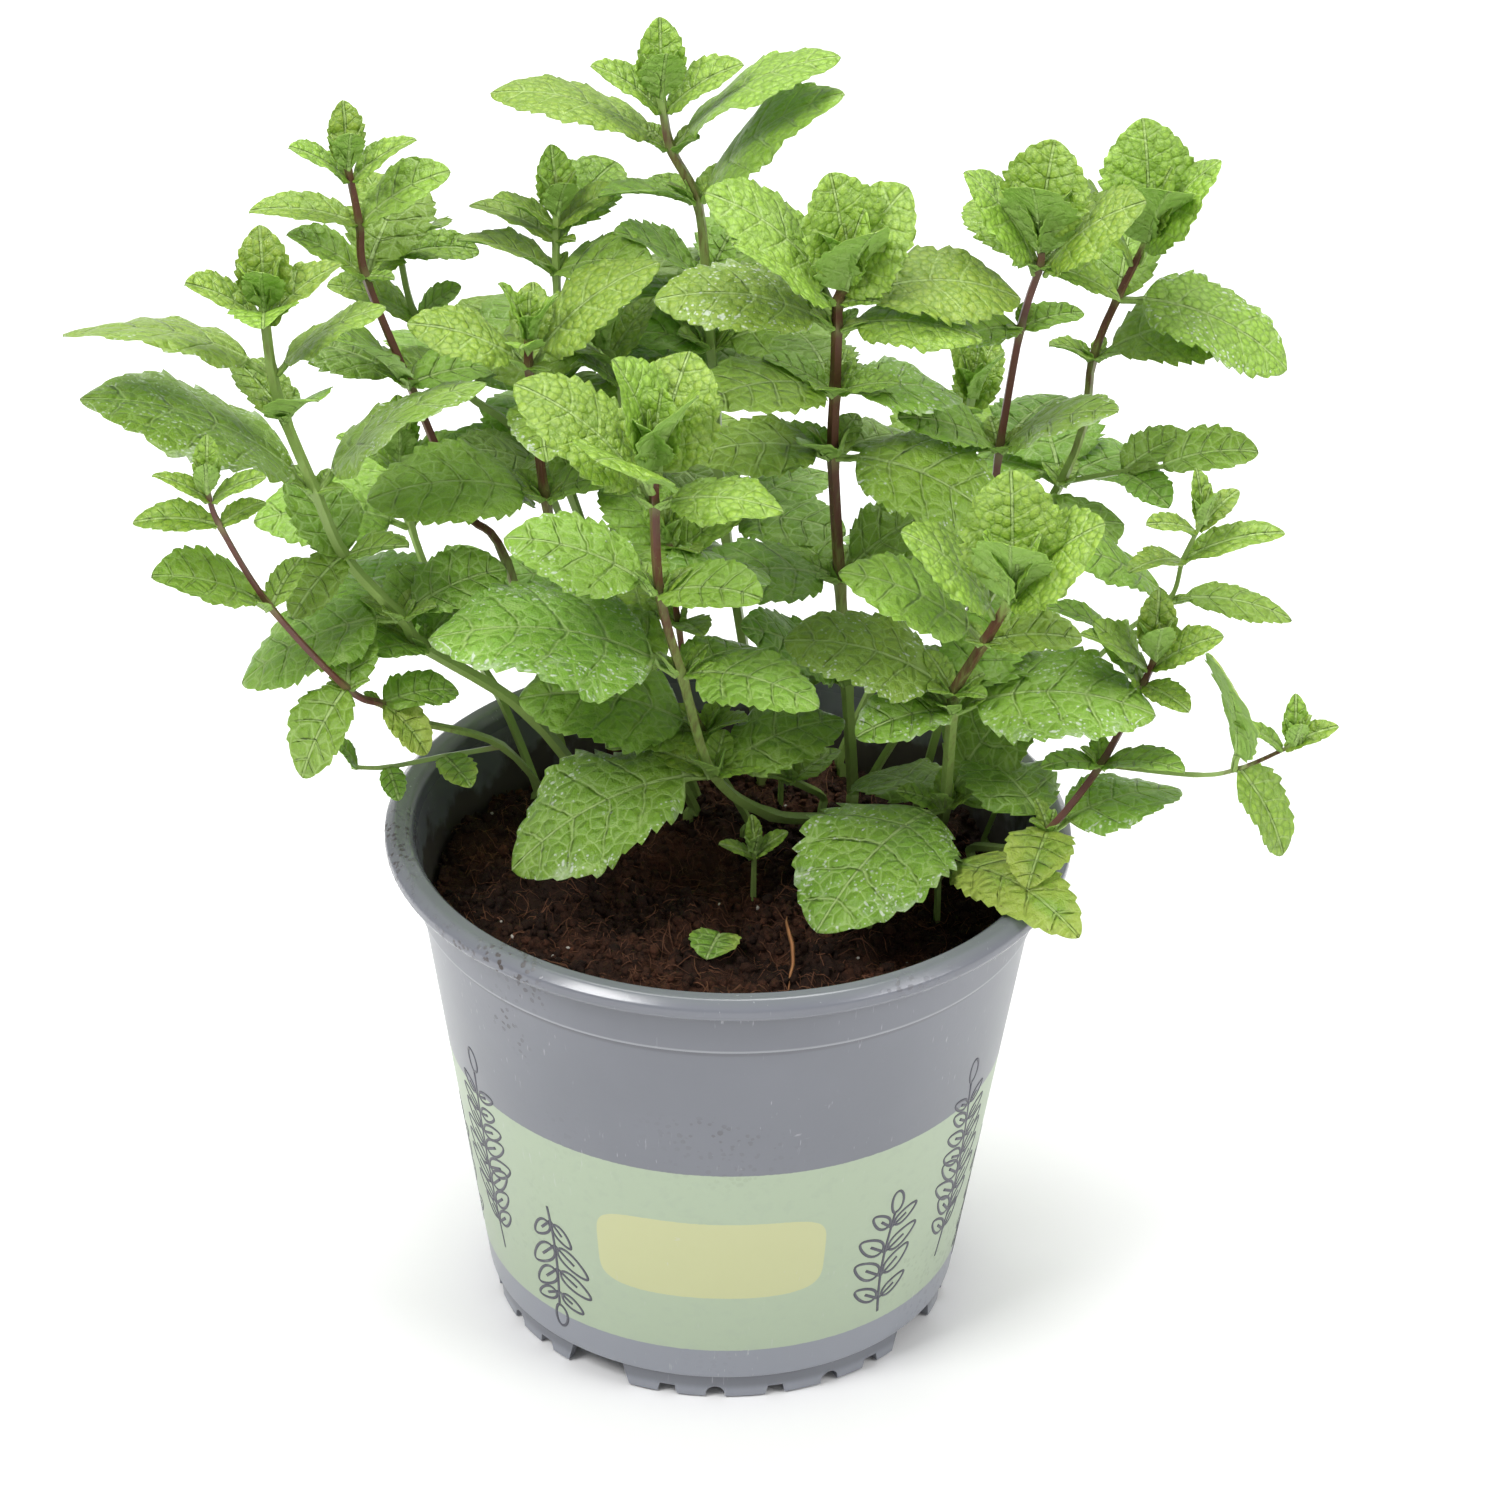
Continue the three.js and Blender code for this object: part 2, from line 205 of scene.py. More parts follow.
# Points and faces gathered from many small shapes
class Heap:
    def __init__(self):
        self.points = []
        self.faces = []
        self.attributes = {}
        self.kinds = []
        self.count = 0

    def add(self, points, faces, kind=0, **attributes):
        self.points.append(np.asarray(points, dtype=float).reshape(-1, 3))
        self.faces.extend([tuple(corner + self.count for corner in face) for face in faces])
        self.kinds.extend([kind] * len(faces))
        for name, values in attributes.items():
            rows = np.broadcast_to(np.asarray(values, dtype=float), self.points[-1].shape)
            self.attributes.setdefault(name, []).append(rows)
        self.count += len(self.points[-1])

    def mesh(self, name):
        mesh = bpy.data.meshes.new(name)
        mesh.from_pydata((np.concatenate(self.points) * mm + (*potAxis, 0)).tolist(), [], self.faces)
        return mesh

    # One piece of all that was gathered. Kinds are places in the list of materials.
    def piece(self, name, materials, slotName, replaced=(), sharp=None):
        mesh = self.mesh(name)
        for attribute, rows in self.attributes.items():
            layer = mesh.attributes.new(attribute, "FLOAT_VECTOR", "POINT")
            layer.data.foreach_set("vector", np.concatenate(rows).astype(np.float32).ravel())
        for material in materials:
            mesh.materials.append(material)
        mesh.polygons.foreach_set("material_index", self.kinds)
        mesh.shade_smooth()
        if sharp:
            mesh.set_sharp_from_angle(angle=math.radians(sharp))
        piece = addObject(name, mesh)
        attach(piece, "root")
        if replaced:
            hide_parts(*replaced)
        return piece


def unit(vector):
    vector = np.asarray(vector, dtype=float)
    return vector / np.linalg.norm(vector)


# A tube along a path, closed at both ends. Section is a list of shares of the radius round it.
def tube(path, radii, section):
    path = np.asarray(path, dtype=float)
    courses = np.gradient(path, axis=0)
    courses /= np.linalg.norm(courses, axis=1)[:, None]
    side = unit(np.cross(courses[0], (0.3, 1, 0.2)))
    angles = np.arange(len(section)) * 2 * math.pi / len(section)
    rings = []
    for point, course, radius in zip(path, courses, radii):
        side = unit(side - course * side.dot(course))
        other = np.cross(course, side)
        reach = np.asarray(section) * radius
        rings.append(point + np.outer(reach * np.cos(angles), side) + np.outer(reach * np.sin(angles), other))
    count = len(section)
    last = (len(path) - 1) * count
    faces = [tuple(range(count))[::-1]]
    for a in range(0, last, count):
        b = a + count
        faces += [(a + i, a + (i + 1) % count, b + (i + 1) % count, b + i) for i in range(count)]
    faces.append(tuple(range(last, last + count)))
    return np.concatenate(rings), faces


# Camera, light and floor

view = {
    "lens": 125.26,
    "sensor": 36,
    "distance": 0.98,  # metres
    "target": (3.81, 0, 117.8),
    "down": 30.26,  # degrees
    "roll": 1.16,  # degrees
}


def addCamera():
    down, roll = math.radians(view["down"]), math.radians(view["roll"])
    back = Vector((0, -math.cos(down), math.sin(down)))
    across, upward = Vector((1, 0, 0)), Vector((0, math.sin(down), math.cos(down)))
    right = across * math.cos(roll) + upward * math.sin(roll)
    up = upward * math.cos(roll) - across * math.sin(roll)
    place = Vector(view["target"]) * mm + Vector((*potAxis, 0)) + back * view["distance"]
    data = bpy.data.cameras.new("camera")
    data.sensor_width = view["sensor"]
    data.lens = view["lens"]
    data.clip_start = 0.05
    camera = addObject("camera", data)
    camera.matrix_world = Matrix.Translation(place) @ Matrix((right, up, back)).transposed().to_4x4()
    bpy.context.scene.camera = camera


studio = {
    # place in metres from the frame's origin, metres across, watts
    "light_left": ((-0.9, -0.8, 1.5), 0.6, 20),
    "light_right": ((1.2, -0.6, 1.1), 0.7, 9),
    "light_above": ((0, 0.5, 1.7), 1, 25),
}
surround = {"color": (1, 1, 1), "strength": 0.54}
lightsAim = (0, 0, 0.12)  # metres


def addLights():
    for name, (place, size, power) in studio.items():
        data = bpy.data.lights.new(name, "AREA")
        data.size = size
        data.energy = power
        lamp = addObject(name, data)
        lamp.location = place
        lamp.rotation_euler = (Vector(lightsAim) - lamp.location).to_track_quat("-Z", "Y").to_euler()
    world = bpy.data.worlds.new("surround")
    world.use_nodes = True
    sky = world.node_tree.nodes["Background"]
    sky.inputs["Color"].default_value = (*surround["color"], 1)
    sky.inputs["Strength"].default_value = surround["strength"]
    bpy.context.scene.world = world
    bpy.context.scene.view_settings.view_transform = "Standard"


# Half its width and how far it lies below the foot are in metres
paleFloor = {"half": 6, "below": 0.0003, "color": (0.93, 0.93, 0.93), "cloud": 0.985, "roughness": 0.75}


def addFloor():
    paint = Paint("pale_floor")
    pale = paleFloor["color"]
    color = paint.mix(paint.noise(0.7), pale, [c * paleFloor["cloud"] for c in pale])
    half = paleFloor["half"]
    mesh = bpy.data.meshes.new("floor")
    corners = [(-half, -half, 0), (half, -half, 0), (half, half, 0), (-half, half, 0)]
    mesh.from_pydata(corners, [], [(0, 1, 2, 3)])
    mesh.materials.append(paint.finish(paint.gloss(color, paleFloor["roughness"])))
    floor = addObject("floor", mesh)
    floor.location.z = -paleFloor["below"]


addCamera()
addLights()
addFloor()
print("camera, lights and floor")


# Pot

pot = {
    "rimOpening": 59.5,
    "lipHeight": 3.8,
    "collarRadius": 60.1,
    "collarFoot": 88.6,
    "bodyTop": 58.3,
    "bodyFoot": 45.8,
    "footHeight": 5.6,
    "footRadius": 44.4,
    "footWall": 1.9,
    "wall": 1.3,
    "floor": 7,
    "underside": 4.8,
    "sides": 180,
    "drainHoles": 6,
    "drainRadius": 4,
    "drainCircle": 27,
    "sharp": 32,  # degrees from which an edge stays sharp
    "cone": (45.6, 0.1513),  # radius at the foot ring's top and slope, between the wall's two faces
    # Openings along each quarter of the foot ring: degrees from the front towards +X, width, height, arched
    "openings": [(-31.5, 14.6, 4.7, False), (-12.5, 4.4, 2.1, False), (-0.5, 3.7, 2.5, True),
                 (14.5, 4.4, 2.1, False), (29, 3.7, 2.5, True), (41.5, 4.4, 2.1, False)],
}
plastic = {
    "color": (0.172, 0.18, 0.207),
    "shade": (0.132, 0.139, 0.161),
    # painted light from the floor, laid on the lower wall
    "fadedAndPaintedFloorLight": (0.25, 0.264, 0.302),
    "rim": (0.158, 0.171, 0.182),
    # painted shade under the lip and just below the collar's step
    "paintedLedgeShade": (0.075, 0.075, 0.083),
    # pale scratches, and a painted highlight along the collar's step
    "scratchAndHighlight": (0.5, 0.51, 0.53),
    "dirt": (0.035, 0.02, 0.013),
    "roughness": 0.27,
    "specular": 0.62,
}
printing = {
    "band": (0.35, 0.425, 0.302),
    "bandEdges": (12.8, 57.8),
    "panel": (0.47, 0.487, 0.258),
    "panelAngle": -2,  # degrees from the front
    "panelHalf": (23, 9.5),  # along the wall and up it
    "panelHeight": 36,
    "panelCorner": 5,
    "panelRadius": 52.5,  # of the wall there
    "ink": (0.075, 0.075, 0.095),
    "wornInk": (0.2, 0.22, 0.22),
}
sprigs = {
    "firstAngle": 40,  # degrees from the front
    "spacing": 20,
    "count": 15,
    "lineWidth": 0.6,
    "proud": 0.05,
    "sunk": -0.1,
    "sizes": ((25, 27.5), (43, 41)),  # height of a sprig, height of its middle
    "leaf": (8.6, 3.8),
    "leafSpacing": 5.6,
    "tip": (3.4, 5.4),
}


# Radius, height and rounding of a profile's corners, as points with each rounding in short steps
def roundedProfile(corners, steps=5):
    points = []
    for i, (radius, height, rounding) in enumerate(corners):
        here = Vector((radius, height))
        if rounding == 0:
            points.append(tuple(here))
            continue
        before, after = [Vector(corners[j][:2]) - here for j in (i - 1, i + 1)]
        first = here + before.normalized() * min(rounding, before.length * 0.45)
        last = here + after.normalized() * min(rounding, after.length * 0.45)
        for step in range(steps + 1):
            share = step / steps
            points.append(tuple(first.lerp(here, share).lerp(here.lerp(last, share), share)))
    return points


def potProfile():
    p = pot
    lip = potHeight - p["lipHeight"]
    return roundedProfile([
        (0, p["underside"], 0),
        (p["footRadius"] - p["footWall"], p["underside"], 0.4),
        (p["footRadius"] - p["footWall"], 0, 0.35),
        (p["footRadius"], 0, 0.35),
        (p["footRadius"] + 0.2, p["footHeight"] - 0.5, 0.15),
        (p["bodyFoot"], p["footHeight"], 0.5),
        (p["bodyTop"], p["collarFoot"] - 0.4, 0.12),
        (p["collarRadius"] - 1, p["collarFoot"], 0.2),
        (p["collarRadius"], lip, 0.3),
        (rimRadius - 0.4, lip, 0.2),
        (rimRadius, lip + 0.7, 0.35),
        (rimRadius, potHeight - 1.6, 0.45),
        (rimRadius - 1.8, potHeight, 0.55),
        (p["rimOpening"] + 1.2, potHeight - 0.2, 0.6),
        (p["rimOpening"], potHeight - 1.4, 0.6),
        (p["bodyTop"] - p["wall"], p["collarFoot"] - 0.8, 1),
        (p["bodyFoot"] - p["wall"], p["floor"], 1),
        (0, p["floor"], 0),
    ])


# A profile turned round the axis, which it meets in a point at both ends
def turnedMesh(profile, sides):
    angles = [2 * math.pi * step / sides for step in range(sides)]
    points = [(0, 0, profile[0][1])]
    for radius, height in profile[1:-1]:
        points += [(radius * math.cos(angle), radius * math.sin(angle), height) for angle in angles]
    points.append((0, 0, profile[-1][1]))
    last = len(points) - 1
    faces = [(0, 1 + (i + 1) % sides, 1 + i) for i in range(sides)]
    for a in range(1, last - sides, sides):
        b = a + sides
        faces += [(a + i, a + (i + 1) % sides, b + (i + 1) % sides, b + i) for i in range(sides)]
    faces += [(last - sides + i, last - sides + (i + 1) % sides, last) for i in range(sides)]
    return points, faces


def footCutter(heap, angle, width, height, arched):
    outline = [(-width / 2, -1), (width / 2, -1)]
    if arched:
        turns = [math.pi * step / 8 for step in range(9)]
        outline += [(width / 2 * math.cos(t), height - width / 2 + width / 2 * math.sin(t)) for t in turns]
    else:
        slope = height * 0.35
        outline += [(width / 2 - slope, height), (slope - width / 2, height)]
    near, far = pot["footRadius"] - pot["footWall"] - 2, pot["footRadius"] + 2
    turn = math.radians(angle)
    outward = np.array((math.sin(turn), -math.cos(turn), 0))
    along = np.array((math.cos(turn), math.sin(turn), 0))
    points = [along * x + outward * depth + (0, 0, z) for depth in (near, far) for x, z in outline]
    count = len(outline)
    faces = [tuple(range(count)), tuple(range(count, 2 * count))[::-1]]
    faces += [(i, i + count, (i + 1) % count + count, (i + 1) % count) for i in range(count)]
    heap.add(points, faces)


def cutOpenings(piece):
    cutters = Heap()
    for quarter in range(4):
        for angle, *form in pot["openings"]:
            footCutter(cutters, angle + 90 * quarter, *form)
    for i in range(pot["drainHoles"]):
        turn = 2 * math.pi * i / pot["drainHoles"]
        middle = np.array((math.cos(turn), math.sin(turn))) * pot["drainCircle"]
        cutters.add(*tube([(*middle, 0), (*middle, pot["floor"] + 1)], [pot["drainRadius"]] * 2, [1] * 24))
    mesh = cutters.mesh("pot_cutters")
    faceOutward(mesh)
    cutter = addObject("pot_cutters", mesh)
    cut = piece.modifiers.new("openings", "BOOLEAN")
    cut.operation = "DIFFERENCE"
    cut.solver = "EXACT"
    cut.use_self = True
    cut.object = cutter
    bpy.context.view_layer.update()
    whole = bpy.data.meshes.new_from_object(piece.evaluated_get(bpy.context.evaluated_depsgraph_get()))
    piece.modifiers.clear()
    piece.data = whole
    bpy.data.objects.remove(cutter)
    whole.shade_smooth()
    whole.set_sharp_from_angle(angle=math.radians(pot["sharp"]))


def potPlastic():
    paint = Paint("printed_plastic")
    x, y, z = [axis / mm for axis in paint.axes(paint.place)]
    x = x - potAxis[0] / mm
    y = y - potAxis[1] / mm
    radius = (x * x + y * y) ** 0.5
    angle = x.math("ARCTAN2", x, 0 - y) * (180 / math.pi)  # degrees from the front
    coneRadius, coneSlope = pot["cone"]
    outside = (radius - coneRadius - (z - pot["footHeight"]) * coneSlope).step(-0.7, -0.5)
    lip = potHeight - pot["lipHeight"]
    fromCollar = z - pot["collarFoot"]

    level = z + (paint.noise(900, 2) - 0.5) * 0.25
    low, high = printing["bandEdges"]
    band = level.step(low - 0.1, low + 0.1) * level.step(high + 0.1, high - 0.1) * outside
    band = band * (0.93 + 0.07 * paint.noise(420, 4).step(0.3, 0.5))
    perDegree = printing["panelRadius"] * math.pi / 180
    along = (angle - printing["panelAngle"]) * perDegree / printing["panelHalf"][0]
    upward = (level - printing["panelHeight"]) / printing["panelHalf"][1]
    corner = printing["panelCorner"]
    panel = (abs(along) ** corner + abs(upward) ** corner).step(1.02, 0.98)
    panel = panel * outside * abs(angle).step(91, 89)

    # Fine pale scratches, most of them up the wall
    risen = paint.noise(1500, 2, place=paint.stretched(1, 1, 0.12)).step(0.66, 0.76)
    risen = risen * paint.noise(60).step(0.48, 0.62)
    slanted = paint.noise(900, place=paint.stretched(0.3, 0.3, 1)).step(0.7, 0.78)
    slanted = slanted * paint.noise(45).step(0.55, 0.66)
    # Specks of soil, thick in patches under the lip and on it, and soil inside
    leftFront = angle.step(-8, -25) * angle.step(-60, -40)
    patches = (paint.noise(26, 2) + leftFront * 0.06).step(0.55, 0.72)
    speck = (paint.cells(640, "F1") - paint.noise(700) * 0.7).step(0.0, -0.06)
    speck = speck * patches * (0.1 + 0.9 * z.step(62, 80))
    inner = (1 - outside) * z.step(pot["floor"] + 2, pot["floor"] + 4) * z.step(99, 95)
    soiled = inner * (paint.noise(130, 4) + z.step(98, 86) * 0.35).step(0.52, 0.72)
    dirt = speck.atLeast(soiled * 0.85)

    cloud = paint.noise(28)
    color = paint.coats(
        paint.mix(cloud, plastic["shade"], plastic["color"]),
        # painted shade on the foot ring, near the floor
        (z.step(6.5, 4.9) * 0.25, plastic["shade"]),
        # painted light: the lower wall lighter towards the foot, for light thrown up from the floor
        (z.step(50, 3) * 0.85 * outside, plastic["fadedAndPaintedFloorLight"]),
        # painted shade on the collar under the lip
        (z.step(lip - 5, lip - 0.5) * z.step(lip + 0.3, lip) * outside * 0.55, plastic["paintedLedgeShade"]),
        # painted shade just below the collar's step
        (abs(fromCollar + 0.9).step(0.6, 0.1) * outside * 0.3, plastic["paintedLedgeShade"]),
        # painted highlight along the collar's step
        (abs(fromCollar - 0.2).step(0.4, 0.1) * outside * 0.35, plastic["scratchAndHighlight"]),
        (z.step(lip + 2.4, lip + 3.4) * 0.75, plastic["rim"]),
        (band, printing["band"]),
        (panel, printing["panel"]),
        (risen.atLeast(slanted) * 0.4, plastic["scratchAndHighlight"]),
        (dirt, plastic["dirt"]),
    )
    roughness = plastic["roughness"] + 0.1 * cloud + dirt * 0.45 + band * 0.06
    roughness = roughness - 0.1 * z.step(lip - 0.2, lip + 0.1)
    normal = paint.bump((paint.noise(1100, 2), 0.012), (paint.noise(55, 2), 0.12), (dirt, 0.12))
    return paint.finish(paint.gloss(color, roughness, plastic["specular"], normal))


def inkMaterial():
    paint = Paint("printing_ink")
    worn = paint.noise(500)
    color = paint.mix(worn.step(0.55, 0.8) * 0.5, printing["ink"], printing["wornInk"])
    return paint.finish(paint.gloss(color, 0.4 + worn * 0.1))


# Lines of one printed sprig, as [along the wall, up it] points about its middle
def sprigLines(draw, height, upturned):
    sway = draw.uniform(-2.5, 2.5)

    def spine(share):
        return np.array((sway * math.sin(share * math.pi * 1.1), (share - 0.5) * height))

    lines = [[spine(step / 14) for step in range(15)]]
    pairs = round(height / sprigs["leafSpacing"])
    for pair in range(pairs):
        foot = spine(0.14 + 0.72 * pair / (pairs - 1))
        size = 1 - 0.4 * abs(2 * pair / pairs - 0.7)
        for hand in (-1, 1):
            lean = math.radians(draw.uniform(32, 52) - 2 * pair)
            course = np.array((math.cos(lean) * hand, math.sin(lean)))
            across = np.array((-course[1], course[0]))
            length = sprigs["leaf"][0] * size * draw.uniform(0.9, 1.1)
            half = sprigs["leaf"][1] * size / 2
            outline = []
            for t in np.linspace(0, 2 * math.pi, 25):
                reach = (1 - math.cos(t)) / 2
                bulge = half * math.sin(t) * (1.35 - 0.6 * reach)
                outline.append(foot + course * (1 + length * reach) + across * bulge)
            lines += [outline, [foot + course * length * share for share in (0, 0.2, 0.4, 0.55, 0.68)]]
    wide, tall = sprigs["tip"]
    tip = []
    for t in np.linspace(0, 2 * math.pi, 21):
        tip.append(spine(1) + (wide / 2 * math.sin(t) * (1.2 - t / 9), tall * (1 - math.cos(t)) / 2))
    lines.append(tip)
    return lines if upturned else [[(x, -y) for x, y in line] for line in lines]


# A line printed on the tapered wall, as a thin band with a little thickness
def addInkLine(heap, line, angle, height):
    line = np.asarray(line, dtype=float)
    courses = np.gradient(line, axis=0)
    courses /= np.maximum(np.linalg.norm(courses, axis=1), 1e-6)[:, None]
    across = np.stack([-courses[:, 1], courses[:, 0]], axis=1) * sprigs["lineWidth"] / 2
    taper = (pot["bodyTop"] - pot["bodyFoot"]) / (pot["collarFoot"] - 0.4 - pot["footHeight"])
    rows = []
    for hand, proud in ((1, "sunk"), (1, "proud"), (-1, "proud"), (-1, "sunk")):
        flat = line + across * hand
        z = height + flat[:, 1]
        radius = pot["bodyFoot"] + (z - pot["footHeight"]) * taper
        turn = math.radians(angle) + flat[:, 0] / radius
        radius = radius + sprigs[proud]
        rows.append(np.stack([radius * np.sin(turn), -radius * np.cos(turn), z], axis=1))
    faces = [(0, 1, 2, 3)]
    last = (len(line) - 1) * 4
    for a in range(0, last, 4):
        b = a + 4
        faces += [(a + k, b + k, b + (k + 1) % 4, a + (k + 1) % 4) for k in range(4)]
    faces.append((last + 3, last + 2, last + 1, last))
    heap.add(np.stack(rows, axis=1), faces)


def addPot():
    body = Heap()
    body.add(*turnedMesh(potProfile(), pot["sides"]))
    piece = body.piece("pot_moulding", [potPlastic()], "pot_plastic", ["pot"])
    faceOutward(piece.data)
    cutOpenings(piece)
    draw = random.Random(7)
    lines = Heap()
    for number in range(sprigs["count"]):
        height, middle = sprigs["sizes"][number % 2]
        for line in sprigLines(draw, height, number % 4 != 2):
            addInkLine(lines, line, sprigs["firstAngle"] + number * sprigs["spacing"], middle)
    lines.piece("pot_line_print", [inkMaterial()], "pot_plastic")


addPot()
print("pot")


# Soil

soil = {
    "top": 86,
    "edge": 84,
    "bottom": 7.35,
    "gap": 0.35,
    "rough": 2.3,  # height of its lumps
    "clods": 1.6,
    "spacing": 0.8,
    "sides": 340,
    "crumbs": 6500,
    "crumbSize": (0.35, 2.7),
    "whiteBits": 22,
    "whiteSize": (0.5, 1.1),
    "fibres": 1300,
    "fibreLength": (2.5, 10),
    "fibreWidth": (0.1, 0.3),
    "root": ((11.8, -33.4), 1.32, 25, 1.15),  # its start, heading in radians, length and width
}
soilLook = {
    "dark": (0.014, 0.0068, 0.0042),
    "brown": (0.064, 0.026, 0.014),
    "red": (0.135, 0.05, 0.025),
    "fibre": (0.24, 0.105, 0.055),
    "white": (0.55, 0.52, 0.47),
    "greyWhite": (0.4, 0.37, 0.32),
    "root": (0.5, 0.24, 0.1),
    "darkRoot": (0.3, 0.12, 0.05),
}


def innerRadius(height):
    share = (height - pot["floor"]) / (pot["collarFoot"] - 0.8 - pot["floor"])
    return pot["bodyFoot"] - pot["wall"] + share * (pot["bodyTop"] - pot["bodyFoot"])


def soilHeight(x, y):
    clumps = math.sin(x * 0.31 + 1.2) * math.cos(y * 0.27 - 0.6) + 0.6 * math.sin(x * 0.13 - y * 0.21)
    lumps = noise.fractal(Vector((x * 0.13, y * 0.13, 3.7)), 0.75, 2.1, 6)
    clods = abs(noise.noise(Vector((x * 0.34, y * 0.34, 8.2))))
    return soil["top"] + 0.9 * clumps - 0.02 * x + soil["rough"] * lumps + soil["clods"] * clods - 0.4


def soilMaterial():
    paint = Paint("moist_soil")
    tone = paint.attribute("tone")[0]
    lumps = paint.noise(330, 6, 0.7)
    strands = abs(paint.noise(420) - 0.5).step(0.035, 0.0)
    stops = [(0.32, soilLook["dark"]), (0.52, soilLook["brown"]), (0.7, soilLook["red"])]
    earth = paint.node("ShaderNodeValToRGB", {"stops": stops}, {"Fac": lumps * 0.75 + tone * 0.25})
    damp = paint.noise(55)
    wet = damp.step(0.58, 0.4) * 0.7
    color = paint.coats(earth, (strands * 0.5, soilLook["red"]), (wet, soilLook["dark"]))
    normal = paint.bump((lumps, 2.2), (strands, 0.35), (paint.noise(1100, 4, 0.7), 0.4))
    return paint.finish(paint.gloss(color, 0.75 + 0.2 * damp, 0.25, normal))


def fibreMaterial(name, pale, dark):
    paint = Paint(name)
    streak = paint.noise(340)
    normal = paint.bump((paint.noise(1400, 2), 0.03))
    return paint.finish(paint.gloss(paint.mix(streak, dark, pale), 0.6 + 0.25 * streak, 0.3, normal))


# A small lump on the soil, with twelve points out of round
def addLump(heap, middle, size, draw, kind, tone):
    golden = (1 + math.sqrt(5)) / 2
    corners = []
    for a in (-1, 1):
        for b in (-golden, golden):
            corners += [(0, a, b), (a, b, 0), (b, 0, a)]
    turned = draw.uniform(0, 6.28)
    axis = Vector((draw.gauss(0, 1), draw.gauss(0, 1), draw.gauss(0, 1))).normalized()
    turn = Matrix.Rotation(turned, 3, axis)
    stretch = [draw.uniform(0.6, 1.25) for _ in range(3)]
    hull = bmesh.new()
    for corner in corners:
        shift = draw.uniform(0.72, 1.2) / 1.9 * size / 2
        hull.verts.new(turn @ Vector([c * s * shift for c, s in zip(corner, stretch)]) + Vector(middle))
    bmesh.ops.convex_hull(hull, input=hull.verts)
    for spare in [v for v in hull.verts if not v.link_faces]:
        hull.verts.remove(spare)
    hull.verts.index_update()
    faces = [[v.index for v in face.verts] for face in hull.faces]
    heap.add([tuple(v.co) for v in hull.verts], faces, kind, tone=(tone, 0, 0))
    hull.free()


def soilPlace(draw, reach):
    radius = innerRadius(soil["top"]) * reach * math.sqrt(draw.random())
    turn = draw.uniform(0, 2 * math.pi)
    return radius * math.cos(turn), radius * math.sin(turn)


# A fibre that winds over the soil and rises from it in the middle
def addStrand(heap, start, heading, length, width, draw, kind, tone, lift=0.35):
    x, y = start
    steps = 8
    curl = draw.gauss(0, 0.14)
    path = []
    rise = draw.uniform(0.1, 1) * lift * length * 0.35
    for step in range(steps + 1):
        path.append((x, y, soilHeight(x, y) + 0.15 + rise * math.sin(math.pi * step / steps) ** 2))
        heading += curl + draw.uniform(-0.22, 0.22)
        x += math.cos(heading) * length / steps
        y += math.sin(heading) * length / steps
        if math.hypot(x, y) > innerRadius(soil["top"]) - 1:
            heading += math.pi * 0.6
    radii = [width / 2 * (1 - 0.75 * abs(2 * step / steps - 0.8)) for step in range(steps + 1)]
    heap.add(*tube(path, np.maximum(radii, width * 0.12), [1, 1, 1]), kind, tone=(tone, 0, 0))


def addSoilBed(material):
    wide, foot = [innerRadius(soil[level]) - soil["gap"] for level in ("edge", "bottom")]
    rings = int(wide / soil["spacing"])
    sides = soil["sides"]
    points = [(0, 0, soilHeight(0, 0))]
    for ring in range(1, rings + 2):
        radius = wide * ring / rings if ring <= rings else foot
        for step in range(sides):
            turn = 2 * math.pi * step / sides
            x, y = radius * math.cos(turn), radius * math.sin(turn)
            edge = soil["edge"] - 0.6 if ring == rings else soil["bottom"]
            points.append((x, y, soilHeight(x, y) if ring < rings else edge))
    faces = [(0, 1 + step, 1 + (step + 1) % sides) for step in range(sides)]
    last = 1 + rings * sides
    for a in range(1, last, sides):
        b = a + sides
        faces += [(a + i, b + i, b + (i + 1) % sides, a + (i + 1) % sides) for i in range(sides)]
    faces.append(tuple(range(last, last + sides))[::-1])
    bed = Heap()
    bed.add(points, faces, tone=(0.5, 0, 0))
    bed.piece("soil_bed", [material], "soil", ["soil"])


def addSoil():
    draw = random.Random(21)
    material = soilMaterial()
    addSoilBed(material)

    crumbs = Heap()
    low, high = soil["crumbSize"]
    for _ in range(soil["crumbs"]):
        x, y = soilPlace(draw, 0.985)
        size = low + (high - low) * draw.random() ** 3.2
        addLump(crumbs, (x, y, soilHeight(x, y) + size * 0.2), size, draw, 0, draw.random())
    for _ in range(soil["whiteBits"]):
        x, y = soilPlace(draw, 0.95)
        addLump(crumbs, (x, y, soilHeight(x, y) + 0.3), draw.uniform(*soil["whiteSize"]), draw, 1, 0.5)
    grit = fibreMaterial("white_grit", soilLook["white"], soilLook["greyWhite"])
    crumbs.piece("soil_crumbs", [material, grit], "soil")

    strands = Heap()
    for _ in range(soil["fibres"]):
        start, heading = soilPlace(draw, 0.93), draw.uniform(0, 6.28)
        length, width = draw.uniform(*soil["fibreLength"]), draw.uniform(*soil["fibreWidth"])
        addStrand(strands, start, heading, length, width, draw, 0, draw.random())
    addStrand(strands, *soil["root"], draw, 1, 0.5, 0.8)
    brown = fibreMaterial("coconut_fibre", soilLook["fibre"], soilLook["brown"])
    root = fibreMaterial("old_root", soilLook["root"], soilLook["darkRoot"])
    strands.piece("soil_fibres", [brown, root], "soil")


addSoil()
print("soil")


# Mint

